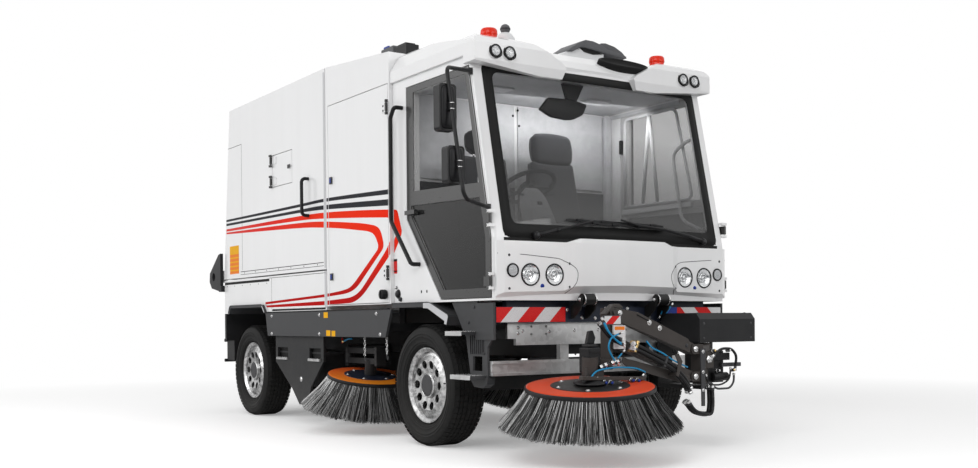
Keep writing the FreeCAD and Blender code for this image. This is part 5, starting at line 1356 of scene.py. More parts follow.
def round_lamp(shape, at, radius, kind):
    """A round lamp in its pocket: bezel, reflector bowl with its bulb, and a domed lens."""
    x, y, z = at
    back = -0.0165 if kind != "work" else -0.008
    r = radius
    bowl = [(r - 0.006, -0.001), (r - 0.01, -0.005), (r * 0.62, back * 0.75), (r * 0.3, back * 0.95),
        (0.01, back), (0.0, back), (0.0, back - 0.0012), (r - 0.002, back - 0.0012), (r - 0.002, -0.001)]
    coat = {"head": "chrome", "position": "galvanised", "work": "galvanised"}[kind]
    shape.turned(bowl, at, AHEAD, coat, 48)
    shape.turned([(r - 0.01, 0.0), (r - 0.006, 0.0035), (r - 0.001, 0.003), (r, 0.0), (r, back),
        (r - 0.002, back), (r - 0.0022, -0.001)], at, AHEAD, "black", 48)
    if kind == "head":
        shape.turned([(0.0, -0.003), (0.012, -0.004), (0.016, -0.009), (0.012, back + 0.001),
            (0.0, back + 0.001)], at, AHEAD, "steel", 20)
        shape.turned([(0.026, -0.0045), (0.03, -0.004), (0.032, -0.008), (0.026, -0.01)], at, AHEAD, "chrome", 32)
    if kind == "work":
        for dy, dz in ((0, 0), (0.016, 0.01), (-0.016, 0.01), (0.016, -0.01), (-0.016, -0.01), (0, 0.02),
                (0, -0.02)):
            shape.turned([(0.0, -0.003), (0.0045, -0.0034), (0.0062, -0.006), (0.0, -0.006)], (x, y + dy, z + dz),
                AHEAD, "chrome", 12)
    if kind == "position":
        for k in range(9):
            w = (k - 4) * 0.0088
            reach = sqrt(max((r - 0.01) ** 2 - w * w, 0))
            shape.box((x - 0.006, y + w - 0.0022, z - reach), (x + 0.0012, y + w + 0.0022, z + reach), "white",
                0.001)
    dome = 0.012 if kind == "head" else 0.005
    glass = [(0.0, dome), (r * 0.35, dome * 0.88), (r * 0.65, dome * 0.58), (r * 0.85, dome * 0.22),
        (r - 0.007, 0.0002), (r - 0.009, -0.0008), (r * 0.65, dome * 0.58 - 0.002), (0.0, dome - 0.002)]
    shape.turned(glass, at, AHEAD, "lens", 48)


def round_lamps():
    """Head, position and work lamps of both sides."""
    shape = Shape()
    for side in (-1, 1):
        for x, y, z, r, kind in ((0.914, 0.764, 1.164, 0.073, "head"), (0.918, 0.575, 1.166, 0.073, "head"),
                (0.912, 0.9, 1.19, 0.045, "position"), (0.712, 0.881, 2.622, 0.042, "work"),
                (0.712, 0.77, 2.622, 0.042, "work")):
            round_lamp(shape, Vector((x, side * y, z)), r, kind)
    shape.piece("round_lamps", "vehicle", "lamp", ("lamps",))


def roof_lamp_surrounds(surround, side):
    """Flat oval rings round the roof lamps, on the pod's face."""
    for y in (0.881, 0.77):
        rings = [[(0.7075 + out - (sin(t) * grow_z) * 0.3, side * y + cos(t) * grow_y, 2.622 + sin(t) * grow_z)
            for t in angles(40)] for grow_y, grow_z, out in ((0.0425, 0.0425, 0.0), (0.043, 0.043, 0.004),
            (0.048, 0.05, 0.004), (0.049, 0.0515, -0.01))]
        surround.loft(rings, "seal", capped=False)


def beacon_trim(surround, side):
    """A ribbed cap and a rubber foot on a beacon."""
    low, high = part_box("beacons")
    y = side * (high[1] - 0.054)
    x, foot = (low[0] + high[0]) / 2 - AXLE_X, high[2] - 0.095
    top = 2.842 - foot
    surround.turned([(0.0548, 0.09), (0.057, 0.092), (0.059, 0.1), (0.056, top - 0.014), (0.048, top - 0.004),
        (0.03, top), (0.0, top), (0.0, top - 0.003), (0.0548, 0.094)], (x, y, foot), UP, "amber", 48)
    surround.turned([(0.0545, 0.03), (0.0585, 0.032), (0.0615, 0.04), (0.0615, 0.046), (0.056, 0.05),
        (0.0545, 0.05)], (x, y, foot), UP, "seal", 48)


class SWEEPER_OT_lamps(bpy.types.Operator):
    """Fit the head lamps, position lamps, roof work lamps and beacons"""
    bl_idname = "sweeper.lamps"
    bl_label = "Fit the lamps"

    def execute(self, context):
        round_lamps()
        surround = Shape()
        for side in (-1, 1):
            roof_lamp_surrounds(surround, side)
        for side in (-1, 1):
            beacon_trim(surround, side)
        surround.piece("lamp_surrounds", "vehicle", "black_paint")
        return {"FINISHED"}


# ---- side trim

def screw(shape, at, axis, radius=0.006, coat="steel"):
    """A domed screw head on a washer."""
    shape.turned([(0.0, radius * 0.55), (radius * 0.6, radius * 0.48), (radius, radius * 0.2),
        (radius * 1.35, radius * 0.16), (radius * 1.4, 0.0), (0.0, 0.0)], at, axis, coat, 12)


def bolt(shape, at, axis, radius=0.01, coat="steel"):
    """A hexagon head on a washer."""
    shape.knob([(radius * 1.45, 0.0022), (radius * 1.5, 0.0)], at, axis, coat, 20)
    shape.knob([(radius * 0.9, radius * 0.85), (radius, radius * 0.72), (radius, 0.0)], at, axis, coat, 6,
        smooth=False)


def seam(shape, points, side, y=BODY, half=0.0022, coat="seal"):
    """A thin dark line on a side panel, along (x, z) points: a joint, or a painted shadow in a gap."""
    for (x0, z0), (x1, z1) in zip(points, points[1:]):
        along = Vector((x1 - x0, z1 - z0)).normalized()
        nx, nz = -along.y * half, along.x * half
        face = side * (y + 0.0004)
        shape.sheet([(x0 + nx, face, z0 + nz), (x1 + nx, face, z1 + nz), (x1 - nx, face, z1 - nz),
            (x0 - nx, face, z0 - nz)], coat, (0, side, 0))


def side_seams(hopper, body, side, out):
    """Joint lines of the side panels, a painted shadow in the gap under the hopper, and the pale strips at the
    hopper's front.
    """
    seam(hopper, [(-3.35, 1.37), (-3.35, 2.56)], side)
    seam(hopper, [(-3.35, 2.56), (-3.7, 2.56)], side)
    seam(hopper, [(-3.4, 1.357), (-1.56, 1.357)], side, half=0.003)
    seam(hopper, [(-3.4, 1.33), (-1.56, 1.33)], side, half=0.002)
    seam(body, [(-2.65, 0.975), (-2.65, 1.27)], side)
    # painted shadow: the wide dark band stands for the shadow in the gap between the hopper and the lower body
    seam(body, [(-3.82, 1.256), (-2.7, 1.256)], side, half=0.012)
    seam(body, [(-2.64, 0.9835), (-1.53, 0.9835)], side, half=0.0085)
    for shape, z0, z1 in ((hopper, 1.31, 2.89), (body, 0.99, 1.285)):
        shape.sheet([(x, side * (BODY + 0.0004), z) for x, z in ((-1.5475, z0), (-1.518, z0), (-1.518, z1),
            (-1.5475, z1))], "grey_sheet", out)
    seam(body, [(-2.7, 1.272), (-1.53, 1.272)], side, half=0.002)


def side_fixings(hopper, body, side, out):
    """Screws, sealing strips and the skirt's bolts."""
    for k in range(7):
        screw(hopper, (-3.3 + 0.27 * k, side * BODY, 1.3435), out, 0.0045, "cap")
    for k in range(6):
        screw(body, (-3.76 + 0.2 * k, side * BODY, 1.228), out, 0.004, "cap")
    # pale sealing strip down the joint of hopper and housing
    body.box((-1.5125, side * 1.028, 1.29), (-1.4995, side * 1.049, 2.9), "grey_sheet", 0.0015)
    # rubber strip over the skirt
    low, high = sorted((side * (BODY - 0.018), side * (BODY + 0.004)))
    body.box((-2.8, low, 0.9605), (-0.47, high, 0.9685), "seal", 0.001)
    for x, z in ((-2.654, 0.93), (-2.658, 0.774), (-1.654, 0.932), (-1.658, 0.776), (-0.659, 0.931),
            (-0.6, 0.776)):
        bolt(body, (x, side * BODY, z), out, 0.01, "steel")


def caps_and_knob(body, door, side, out):
    """Caps and knobs ahead of the service door."""
    for x, z, r, coat in ((-0.37, 1.069, 0.026, "black"), (-0.332, 1.03, 0.013, "cap"),
            (-0.395, 1.116, 0.009, "steel")):
        body.knob([(r * 0.75, 0.018), (r * 0.92, 0.015), (r, 0.009), (r, 0.0)], (x, side * CAB, z), out, coat, 28)
        body.knob([(r * 1.25, 0.004), (r * 1.32, 0.0)], (x, side * CAB, z), out, "black", 28)
    # turn knob at the foot of the service door, its grip fluted
    reach = [0.0335 + (0.0018 if k % 5 < 2 else 0.0) for k in range(60)]
    flutes = [(-0.5 + r * cos(t), 1.07 + r * sin(t)) for r, t in zip(reach, angles(60))]
    door.prism(flutes, "xz", side * (BODY + 0.004), side * (BODY + 0.048), "black", 0.006)
    door.box((-0.508, side * (BODY + 0.046), 1.04), (-0.492, side * (BODY + 0.056), 1.1), "black", 0.004)


def canister(body, side):
    """Canister under the door."""
    at = Vector((-0.07, side * 0.996, 1.078))
    body.knob([(0.02, 0.0), (0.024, 0.004), (0.024, 0.12), (0.02, 0.128)], at, AHEAD, "steel", 28)
    body.knob([(0.017, 0.128), (0.019, 0.132), (0.019, 0.172), (0.014, 0.178)], at, AHEAD, "black", 24)
    for x in (-0.045, 0.03):
        body.turned([(0.0242, 0.0), (0.0262, 0.001), (0.0262, 0.013), (0.0242, 0.014)],
            at + Vector((x + 0.07, 0, 0)), AHEAD, "black", 28)


ARCH_FACE, GUARD_FACE = 1.0735, 1.0415  # how far out the rear arch and the front guard reach


def bright_edges(body, side):
    """Edges of the rear arch and the front guard, with a bright band on the guard and a painted highlight at the
    rear arch's end.
    """
    arch = ((-3.682, 0.966), (-3.642, 1.038), (-2.828, 1.038), (-2.758, 0.966))
    guard = ((-0.43, 1.0025), (0.1, 1.0025), (0.346, 0.9145), (0.352, 0.9), (0.33, 0.842))
    for edge, face, coat in ((arch, ARCH_FACE, "skirt"), (guard, GUARD_FACE, "cap")):
        body.tube([(x, side * face, z) for x, z in edge], 0.0035, coat, 8, 0.03)
    # bright band along the guard's edge, and a painted highlight at the rear arch's end
    band = [(0.02, 0.998), (0.105, 0.998), (0.345, 0.912), (0.352, 0.9), (0.332, 0.846), (0.3, 0.852),
        (0.303, 0.872), (0.08, 0.96), (0.02, 0.962)]
    body.prism(band, "xz", side * 1.0405, side * 1.0432, "grey_sheet", 0.001)
    body.prism([(-2.838, 1.022), (-2.822, 1.034), (-2.77, 0.974), (-2.78, 0.962)], "xz", side * 1.0705,
        side * 1.0745, "grey_sheet", 0.001)


def step_treads(body, side):
    """Raised teeth and a bright lip on each step."""
    for x0, x1, z in ((0.44, 0.64, 0.8), (0.5, 0.74, 0.518)):
        for k in range(4):
            y = side * (1.012 + 0.034 * k)
            for j in range(int((x1 - x0) / 0.02)):
                x = x0 + 0.012 + 0.02 * j
                body.faces([(x, y - 0.008, z), (x + 0.012, y - 0.008, z), (x + 0.012, y + 0.008, z),
                    (x, y + 0.008, z), (x + 0.006, y, z + 0.007)], [(0, 1, 2, 3), (0, 1, 4), (1, 2, 4), (2, 3, 4),
                    (3, 0, 4)], "steel")
        edge = side * 1.1215
        body.box((x0, edge - 0.002, z - 0.026), (x1, edge + 0.002, z + 0.003), "galvanised", 0.001)


def door_latches(door, side, out):
    """Latch plates and hinge bolts of a service door."""
    for z in (1.232, 2.0):
        for dx in (-0.012, 0.012):
            door.knob([(0.006, 0.003), (0.0075, 0.0)], (-1.393 + dx, side * (BODY + 0.014), z), out, "cap", 16)
        door.box((-1.405, side * (BODY + 0.014), z - 0.018), (-1.381, side * (BODY + 0.019), z + 0.018), "blue",
            0.002)
    for z in (1.226, 2.43):
        for k in (-1, 1):
            bolt(door, (-0.512, side * (BODY + 0.006), z + k * 0.017), out, 0.0055, "cap")


def housing_lips(body, side):
    """Serrated lips under the windows of the sweeping housing."""
    for x0 in (-2.6185, -1.9455):
        teeth = [(x0 + 0.0208 * k, 0.5625 + (0.008 if k % 2 else 0.001)) for k in range(12)]
        body.prism([(x0, 0.546), (x0 + 0.2288, 0.546)] + teeth[::-1], "xz", side * 1.0105, side * 1.0265,
            "galvanised", 0.0)
        body.box((x0 - 0.02, side * 0.972, 0.55), (x0 + 0.25, side * 0.98, 0.67), "seal", 0.001)


def chains(body, side, out):
    """Chains hanging from the skirt beside the side arm: plain links turned each against the next."""
    for x, count in ((-0.915, 7), (-0.56, 6)):
        y = side * (BODY - 0.034)
        body.turned([(0.0, 0.006), (0.006, 0.005), (0.008, 0.0), (0.0, 0.0)], (x, y - side * 0.002, 0.757), out,
            "steel", 14)
        for k in range(count):
            z = 0.745 - 0.021 * k
            ring = [(0.0, 0.013), (0.0065, 0.0085), (0.0065, -0.0085), (0.0, -0.013), (-0.0065, -0.0085),
                (-0.0065, 0.0085), (0.0, 0.013)]
            turn = (1, 0) if k % 2 else (0, 1)
            body.tube([(x + a * turn[0], y + a * turn[1], z + b) for a, b in ring], 0.0024, "steel", 6)
        low = 0.745 - 0.021 * count
        body.tube([(x, y, low + 0.01), (x, y, low - 0.016), (x + 0.012, y, low - 0.03),
            (x + 0.022, y, low - 0.016), (x + 0.016, y, low - 0.004)], 0.0036, "cap", 8, 0.01)


def tap(body, side):
    """Red tap and blue pipe on the housing behind the brush."""
    body.knob([(0.01, 0.0), (0.01, 0.03)], (-1.48, side * 0.93, 0.715), AHEAD, "brass", 14)
    body.box((-1.486, side * 0.924, 0.7), (-1.476, side * 0.936, 0.745), "lamp_red", 0.003)
    body.tube([(-1.452, side * 0.93, 0.715), (-1.38, side * 0.93, 0.735), (-1.3, side * 0.93, 0.738)], 0.006,
        "hose_blue", 10, 0.03)


class SWEEPER_OT_side_trim(bpy.types.Operator):
    """Fit the seams, edge strips, bolts, latches and caps of both sides"""
    bl_idname = "sweeper.side_trim"
    bl_label = "Fit the side trim"

    def execute(self, context):
        hopper, body, doors = Shape(), Shape(), {-1: Shape(), 1: Shape()}
        for side, door in doors.items():
            out = Vector((0, side, 0))
            side_seams(hopper, body, side, out)
            side_fixings(hopper, body, side, out)
            caps_and_knob(body, door, side, out)
            canister(body, side)
            bright_edges(body, side)
            step_treads(body, side)
            door_latches(door, side, out)
            housing_lips(body, side)
            chains(body, side, out)
            tap(body, side)
            # dark inner wing between the front wheel and the chassis
            body.box((-1.12, side * 0.52, 0.815), (0.4, side * 0.532, 1.035), "seal", 0.003)
        for x, z in ((-2.24, 2.214), (-2.19, 2.218)):
            screw(hopper, (x, -BODY - 0.012, z), (0, -1, 0), 0.006, "cap")
        hopper.piece("hopper_trim", "hopper", "dark_grey_paint")
        body.piece("body_trim", "vehicle", "dark_grey_paint")
        for side, door in doors.items():
            door.piece("service_door_trim_" + word(side), "service_door_" + word(side), "dark_grey_paint")
        return {"FINISHED"}


# ---- nose

def fascia_x(y, z):
    """The front of the moulded nose panel."""
    points = ((0.0, 0.965), (0.43, 0.955), (0.5, 0.92), (0.96, 0.905), (1.006, 0.88))
    y = abs(y)
    for (y0, x0), (y1, x1) in zip(points, points[1:]):
        if y <= y1:
            break
    x = x0 + (x1 - x0) * (y - y0) / (y1 - y0)
    return min(x, 0.87 + (z - 1.022) * 1.221)


def chevrons(shape, corners, count, slant, x, start="red_sheet"):
    """Slanted red and white bands over an upright rectangle, seen from the front."""
    (y0, z0), (y1, z1) = corners
    pitch = (y1 - y0 + abs(slant)) / count
    base = y0 - max(slant, 0)
    for k in range(count):
        a, b = base + pitch * k, base + pitch * (k + 1)
        band = [(a, z0), (b, z0), (b + slant, z1), (a + slant, z1)]
        cut = clipped(band, (y0, z0), (y1, z1))
        if cut:
            coat = ("red_sheet", "white_sheet")[(k + (start == "white_sheet")) % 2]
            shape.sheet([(x, y, z) for y, z in cut], coat, AHEAD)


def nose_side(shape, side):
    """Seam, screws, washer jet and reflective bands of one side of the nose."""
    line = [(side * 1.0, 1.297), (side * 0.8, 1.291), (side * 0.529, 1.271), (side * 0.455, 1.235),
        (side * 0.41, 1.19), (side * 0.415, 1.13), (side * 0.455, 1.071), (side * 0.48, 1.045)]
    path = rounded([Vector((0, y, z)) for y, z in line], 0.03, 4)
    shape.tube([(fascia_x(p.y, p.z) - 0.0003, p.y, p.z) for p in path], 0.0022, "skirt", 8)
    for y, z in ((0.925, 1.286), (0.925, 1.074), (0.465, 1.239), (0.466, 1.086)):
        screw(shape, (fascia_x(y, z) - 0.0005, side * y, z), AHEAD, 0.0065, "cap")
    shape.knob([(0.011, 0.014), (0.017, 0.011), (0.02, 0.004), (0.02, -0.004)],
        (fascia_x(0.67, 1.103) - 0.012, side * 0.672, 1.09), (1, 0, -0.4), "blue", 24)
    # reflective sheeting on the beam's face, its bands slanting outward at the top
    face = 0.8512
    if side < 0:
        chevrons(shape, ((-0.99, 0.86), (-0.44, 0.956)), 5, 0.096, face)
    else:
        chevrons(shape, ((0.56, 0.86), (0.99, 0.956)), 4, -0.096, face)


def beam_fixings(shape):
    """The blue plate and the bolts of the beam and the crossbar."""
    shape.box((0.8505, 0.392, 0.9), (0.853, 0.556, 0.955), "blue", 0.001)
    for y, z in ((-0.421, 0.937), (-0.299, 0.887), (-0.186, 0.882), (-0.098, 0.947), (0.098, 0.947), (0.2, 0.885),
            (0.3, 0.887)):
        bolt(shape, (0.85, y, z), AHEAD, 0.0085)
    for y, z in ((-0.787, 0.823), (-0.787, 0.787), (-0.749, 0.802), (-0.533, 0.796), (-0.325, 0.803),
            (-0.12, 0.803), (0.12, 0.803), (0.325, 0.803)):
        bolt(shape, (0.8, y, z), AHEAD, 0.0075)


TOW_X, TOW_Z = 0.95, 1.006                 # axis of the tow rollers


def tow_rollers(shape):
    """Bright rings and end bolts of the tow rollers."""
    for side in (-1, 1):
        y = side * 0.325
        for at in (-0.05, 0.042):
            low = y + at
            shape.turned([(0.0382, -0.004), (0.0405, -0.003), (0.0405, 0.003), (0.0382, 0.004)],
                (TOW_X, low, TOW_Z), (0, 1, 0), "steel", 40)
        for cheek in (-0.0725, 0.0605):
            bolt(shape, (TOW_X, y + cheek, TOW_Z), (0, 1 if cheek > 0 else -1, 0), 0.009)


def step_bolts():
    """Bolts that hold the entry steps."""
    steps = Shape()
    for side in (-1, 1):
        out = (0, side, 0)
        for x, z in ((0.61, 0.96), (0.61, 0.8), (0.54, 0.86), (0.72, 0.66), (0.8, 0.76)):
            bolt(steps, (x, side * 1.0, z), out, 0.008, "cap")
    steps.piece("step_bolts", "vehicle", "dark_grey_paint")


class SWEEPER_OT_nose(bpy.types.Operator):
    """Fit the seams, bolts and sheeting of the nose panel, beam and crossbar"""
    bl_idname = "sweeper.nose"
    bl_label = "Fit the nose trim"

    def execute(self, context):
        shape = Shape()
        for side in (-1, 1):
            nose_side(shape, side)
        beam_fixings(shape)
        tow_rollers(shape)
        shape.piece("nose_trim", "vehicle", "dark_grey_paint")
        step_bolts()
        return {"FINISHED"}


# ---- front arm

def fitting(shape, at, toward, radius=0.011, length=0.034):
    """A crimped pipe end with its hexagon nut."""
    at, toward = Vector(at), Vector(toward).normalized()
    shape.knob([(radius * 1.25, 0.0), (radius * 1.35, 0.003), (radius * 1.35, length * 0.45),
        (radius * 1.2, length * 0.5)], at, toward, "steel", 6, smooth=False)
    shape.knob([(radius * 1.05, length * 0.5), (radius * 1.1, length * 0.55), (radius * 1.1, length * 0.95),
        (radius, length)], at, toward, "cap", 20)


def pipe(shape, points, radius, coat, bend=0.05):
    """A formed pipe with a fitting at each end."""
    points = [Vector(p) for p in points]
    shape.tube(points, radius, coat, 14, bend)
    fitting(shape, points[0] - (points[1] - points[0]).normalized() * 0.004, points[1] - points[0], radius)
    fitting(shape, points[-1] - (points[-2] - points[-1]).normalized() * 0.004, points[-2] - points[-1], radius)


def plate(shape, outline, near, far, coat="arm"):
    """A plate cut to an outline of (y, z), between two distances ahead of the axle."""
    shape.prism(outline, "yz", near, far, coat, 0.0025)


def run(shape, points, x, radius, coat, bend=0.05, ends=True):
    """A formed pipe over the arm's front, its points given as (y, z) or (x, y, z)."""
    points = [Vector(p) if len(p) == 3 else Vector((x, *p)) for p in points]
    if ends:
        pipe(shape, points, radius, coat, bend)
    else:
        shape.tube(points, radius, coat, 14, bend)


LINK_FACE, LINK_PLATE = 1.3515, 1.359    # front faces of the links and of the plates on them


def link_plates(upper, lower):
    """Side plates of the links."""
    plate(upper, [(-0.455, 0.925), (-0.398, 0.938), (-0.249, 0.916), (0.18, 0.742), (0.205, 0.7), (0.195, 0.65),
        (-0.193, 0.784), (-0.378, 0.846), (-0.44, 0.88)], LINK_FACE, LINK_PLATE)
    for y, z in ((-0.4, 0.912), (-0.157, 0.85), (-0.069, 0.814)):
        bolt(upper, (LINK_PLATE, y, z), AHEAD, 0.012)
    bolt(upper, (LINK_PLATE, 0.165, 0.698), AHEAD, 0.009, "cap")
    plate(lower, [(-0.378, 0.64), (-0.338, 0.622), (-0.281, 0.611), (0.193, 0.5), (0.193, 0.441), (-0.093, 0.507),
        (-0.338, 0.569), (-0.385, 0.6)], LINK_FACE, LINK_PLATE)
    upper.box((1.3595, -0.27, 0.872), (1.364, -0.16, 0.878), "seal", 0.001,
        spin=around(1.36, -0.2, 0.87, "X", -22))


def pipe_sleeve(lower):
    """The thick black sleeve of pipes over the lower link, with its clamps and thin blue and black lines."""
    sleeve = [(-0.346, 0.7), (-0.283, 0.677), (-0.168, 0.631), (-0.007, 0.56), (0.098, 0.467), (0.143, 0.4)]
    for dx, dz, r in ((0.0, 0.0, 0.017), (0.022, 0.02, 0.013), (0.026, -0.008, 0.012)):
        run(lower, [(1.394 + dx, y, z + dz) for y, z in sleeve], 0, r, "black", 0.08)
    run(lower, [(-0.24, 0.735), (-0.197, 0.69), (-0.11, 0.66), (-0.022, 0.61), (0.11, 0.56)], 1.424, 0.005,
        "hose_blue", 0.06, False)
    for y, z in ((-0.325, 0.694), (-0.08, 0.594)):
        lower.box((1.3585, y - 0.009, z - 0.028), (1.43, y + 0.009, z + 0.046), "brass" if y < -0.3 else "cap",
            0.004, spin=around(1.39, y, z, "X", -22))
    plate(lower, [(-0.01, 0.64), (0.02, 0.652), (0.055, 0.6), (0.02, 0.5), (0.0, 0.512), (0.018, 0.59)], 1.432,
        1.438)
    lower.box((1.3585, 0.0, 0.508), (1.4325, 0.018, 0.53), "arm", 0.003)


def head_markers(head):
    """The head: markers on a stand-off ahead of the link's plate."""
    head.box((1.3485, -0.54, 0.842), (1.37, -0.48, 0.894), "cap", 0.002)
    head.box((1.37, -0.54, 0.838), (1.3735, -0.404, 0.898), "cap", 0.001)
    chevrons(head, ((-0.537, 0.843), (-0.407, 0.893)), 3, 0.055, 1.3738, "white_sheet")
    head.box((1.37, -0.464, 0.688), (1.3735, -0.368, 0.834), "white", 0.002)
    head.box((1.3736, -0.456, 0.806), (1.3745, -0.376, 0.828), "orange", 0.0)
    head.box((1.3485, -0.462, 0.69), (1.37, -0.44, 0.716), "cap", 0.002)
    head.prism([(-0.52, 0.905), (-0.44, 0.968), (-0.395, 0.97), (-0.365, 0.95), (-0.372, 0.94), (-0.44, 0.948),
        (-0.505, 0.896)], "yz", 1.3, 1.349, "arm", 0.004)


def motor(head):
    """Motor: block, cover, ports, flange with ribs, cap."""
    head.box((1.3, -0.682, 0.545), (1.392, -0.584, 0.7), "black", 0.008)
    head.box((1.31, -0.672, 0.7), (1.384, -0.594, 0.722), "black", 0.01)
    head.prism([(-0.66, 0.722), (-0.64, 0.8), (-0.61, 0.806), (-0.59, 0.76), (-0.6, 0.722)], "yz", 1.325, 1.35,
        "black", 0.004)
    for k in range(4):
        z = 0.565 + 0.034 * k
        head.box((1.392, -0.672, z), (1.397, -0.594, z + 0.016), "black", 0.002)
    _, at, _, _, _, tilt, heading, _ = BRUSHES[0]
    tilt, turn = radians(tilt), radians(heading)
    axis = Vector((sin(tilt) * cos(turn), sin(tilt) * sin(turn), cos(tilt)))
    foot = Vector(at)
    head.turned([(0.05, 0.004), (0.098, 0.004), (0.104, 0.01), (0.104, 0.016), (0.092, 0.026), (0.07, 0.032),
        (0.062, 0.052), (0.05, 0.056)], foot, axis, "black", 48)
    spin = axis.to_track_quat("Z", "Y")
    for k in range(6):
        t = k * pi / 3 + 0.4
        bolt(head, foot + spin @ Vector((0.09 * cos(t), 0.09 * sin(t), 0.016)), axis, 0.007, "cap")


def valve_block(head):
    """Valve block over the disc with its silver unions and blue caps."""
    head.prism([(-0.756, 0.53), (-0.253, 0.512), (-0.262, 0.488), (-0.757, 0.506)], "yz", 1.392, 1.432, "arm",
        0.003)
    head.box((1.38, -0.7, 0.506), (1.394, -0.56, 0.575), "arm", 0.003)
    for y, z in ((-0.541, 0.488), (-0.589, 0.49), (-0.324, 0.494), (-0.372, 0.496)):
        fitting(head, (1.418, y, z), (1, 0, -0.15), 0.012, 0.03)
        head.turned([(0.0, 0.036), (0.008, 0.034), (0.01, 0.028), (0.0, 0.028)], (1.42, y, z), (1, 0, -0.15),
            "blue", 14)
    for y, z in ((-0.609, 0.577), (-0.575, 0.588), (-0.52, 0.6), (-0.48, 0.606)):
        fitting(head, (1.412, y, z), (0.1, 0.9, 0.35), 0.013, 0.036)


def head_pipes(head):
    """Blue loops and the black tail of the sleeve."""
    for points, r in (([(-0.64, 0.52), (-0.7, 0.508), (-0.65, 0.56), (-0.5, 0.578), (-0.33, 0.568), (-0.25, 0.54),
            (-0.275, 0.52)], 0.0055), ([(-0.44, 0.79), (-0.53, 0.762), (-0.555, 0.7), (-0.52, 0.64),
            (-0.47, 0.59)], 0.0055), ([(-0.6, 0.88), (-0.56, 0.806), (-0.5, 0.752), (-0.455, 0.726),
            (-0.42, 0.72)], 0.006), ([(-0.59, 0.876), (-0.545, 0.79), (-0.48, 0.735), (-0.42, 0.704)], 0.005),
            ([(-0.5, 0.612), (-0.46, 0.646), (-0.422, 0.68)], 0.005)):
        run(head, points, 1.425, r, "hose_blue", 0.06)
    for dz in (0.0, 0.026):
        run(head, [(-0.604, 0.85), (-0.562, 0.8), (-0.5, 0.746 + dz), (-0.445, 0.726 + dz), (-0.417, 0.718 + dz)],
            1.402, 0.0115, "black", 0.06)


def post_blocks(post):
    """The post: pin caps, upright plate, valve blocks and unions."""
    for z in (0.672, 0.492):
        post.knob([(0.017, 0.012), (0.02, 0.009), (0.02, 0.0)], (1.349, 0.25, z), AHEAD, "steel", 24)
        bolt(post, (1.361, 0.25, z), AHEAD, 0.008)
    plate(post, [(0.289, 0.675), (0.336, 0.675), (0.332, 0.48), (0.33, 0.294), (0.3, 0.294), (0.296, 0.48)],
        LINK_FACE, 1.36, "cap")
    for z in (0.655, 0.52, 0.4):
        bolt(post, (1.36, 0.312, z), AHEAD, 0.008)
    post.box((1.15, 0.345, 0.44), (1.262, 0.6, 0.655), "black", 0.006)
    post.box((1.262, 0.36, 0.54), (1.3, 0.47, 0.65), "arm", 0.004)
    post.turned([(0.0, 0.016), (0.022, 0.014), (0.028, 0.008), (0.028, 0.0), (0.0, 0.0)], (1.3, 0.425, 0.6),
        AHEAD, "steel", 6, smooth=False)
    post.box((1.262, 0.48, 0.59), (1.282, 0.64, 0.64), "black", 0.004)
    post.box((1.262, 0.565, 0.545), (1.285, 0.745, 0.572), "cap", 0.003)
    post.knob([(0.026, 0.0), (0.029, 0.004), (0.029, 0.13), (0.024, 0.138)], (1.275, 0.48, 0.48), (0, 1, 0),
        "black", 28)
    for y, z, coat in ((0.352, 0.64, "brass"), (0.352, 0.56, "brass"), (0.64, 0.52, "brass"),
            (0.5, 0.52, "steel"), (0.6, 0.655, "steel"), (0.46, 0.655, "brass")):
        fitting(post, (1.29, y, z), (1, 0, 0.1), 0.01, 0.03)
        post.turned([(0.0, 0.04), (0.007, 0.038), (0.009, 0.03), (0.0, 0.03)], (1.29, y, z), (1, 0, 0.1), coat,
            12)


def post_pipes(post):
    """Formed pipes between the post's unions, its low loop and its top cap."""
    for points, r, coat in (([(0.352, 0.42), (0.42, 0.452), (0.47, 0.4), (0.6, 0.4), (0.64, 0.44), (0.64, 0.5)],
            0.007, "cap"), ([(0.38, 0.5), (0.4, 0.43), (0.52, 0.425), (0.6, 0.46), (0.61, 0.54)], 0.006, "black"),
            ([(0.44, 0.62), (0.52, 0.672), (0.62, 0.668), (0.668, 0.62), (0.65, 0.52)], 0.009, "black")):
        run(post, points, 1.318, r, coat, 0.05)
    for dx, r in ((0.0, 0.017), (0.03, 0.012)):
        run(post, [(1.3 + dx, 0.205, 0.33), (1.31 + dx, 0.255, 0.262), (1.31 + dx, 0.34, 0.238),
            (1.3 + dx, 0.42, 0.234), (1.29 + dx, 0.44, 0.3), (1.28 + dx, 0.445, 0.42)], 0, r, "black", 0.07)
    post.turned([(0.0, 0.0), (0.03, 0.0), (0.034, 0.004), (0.034, 0.018), (0.0, 0.02)], (1.2, 0.48, 0.7045), UP,
        "steel", 32)


def cover_fixings(cover):
    """Screws of the arm's cover and two pipes behind the beam."""
    for y in (0.43, 0.88):
        for px in (0.93, 1.19):
            screw(cover, (px, y, 0.912), UP, 0.007, "cap")
        for z in (0.74, 0.84):
            screw(cover, (1.25, y, z), AHEAD, 0.007, "cap")
    for y, z in ((0.38, 0.99), (0.42, 0.98)):
        run(cover, [(0.88, y - 0.02, 0.88), (0.905, y, z - 0.05), (0.9, y + 0.05, z)], 0, 0.006, "hose_blue",
            0.04)


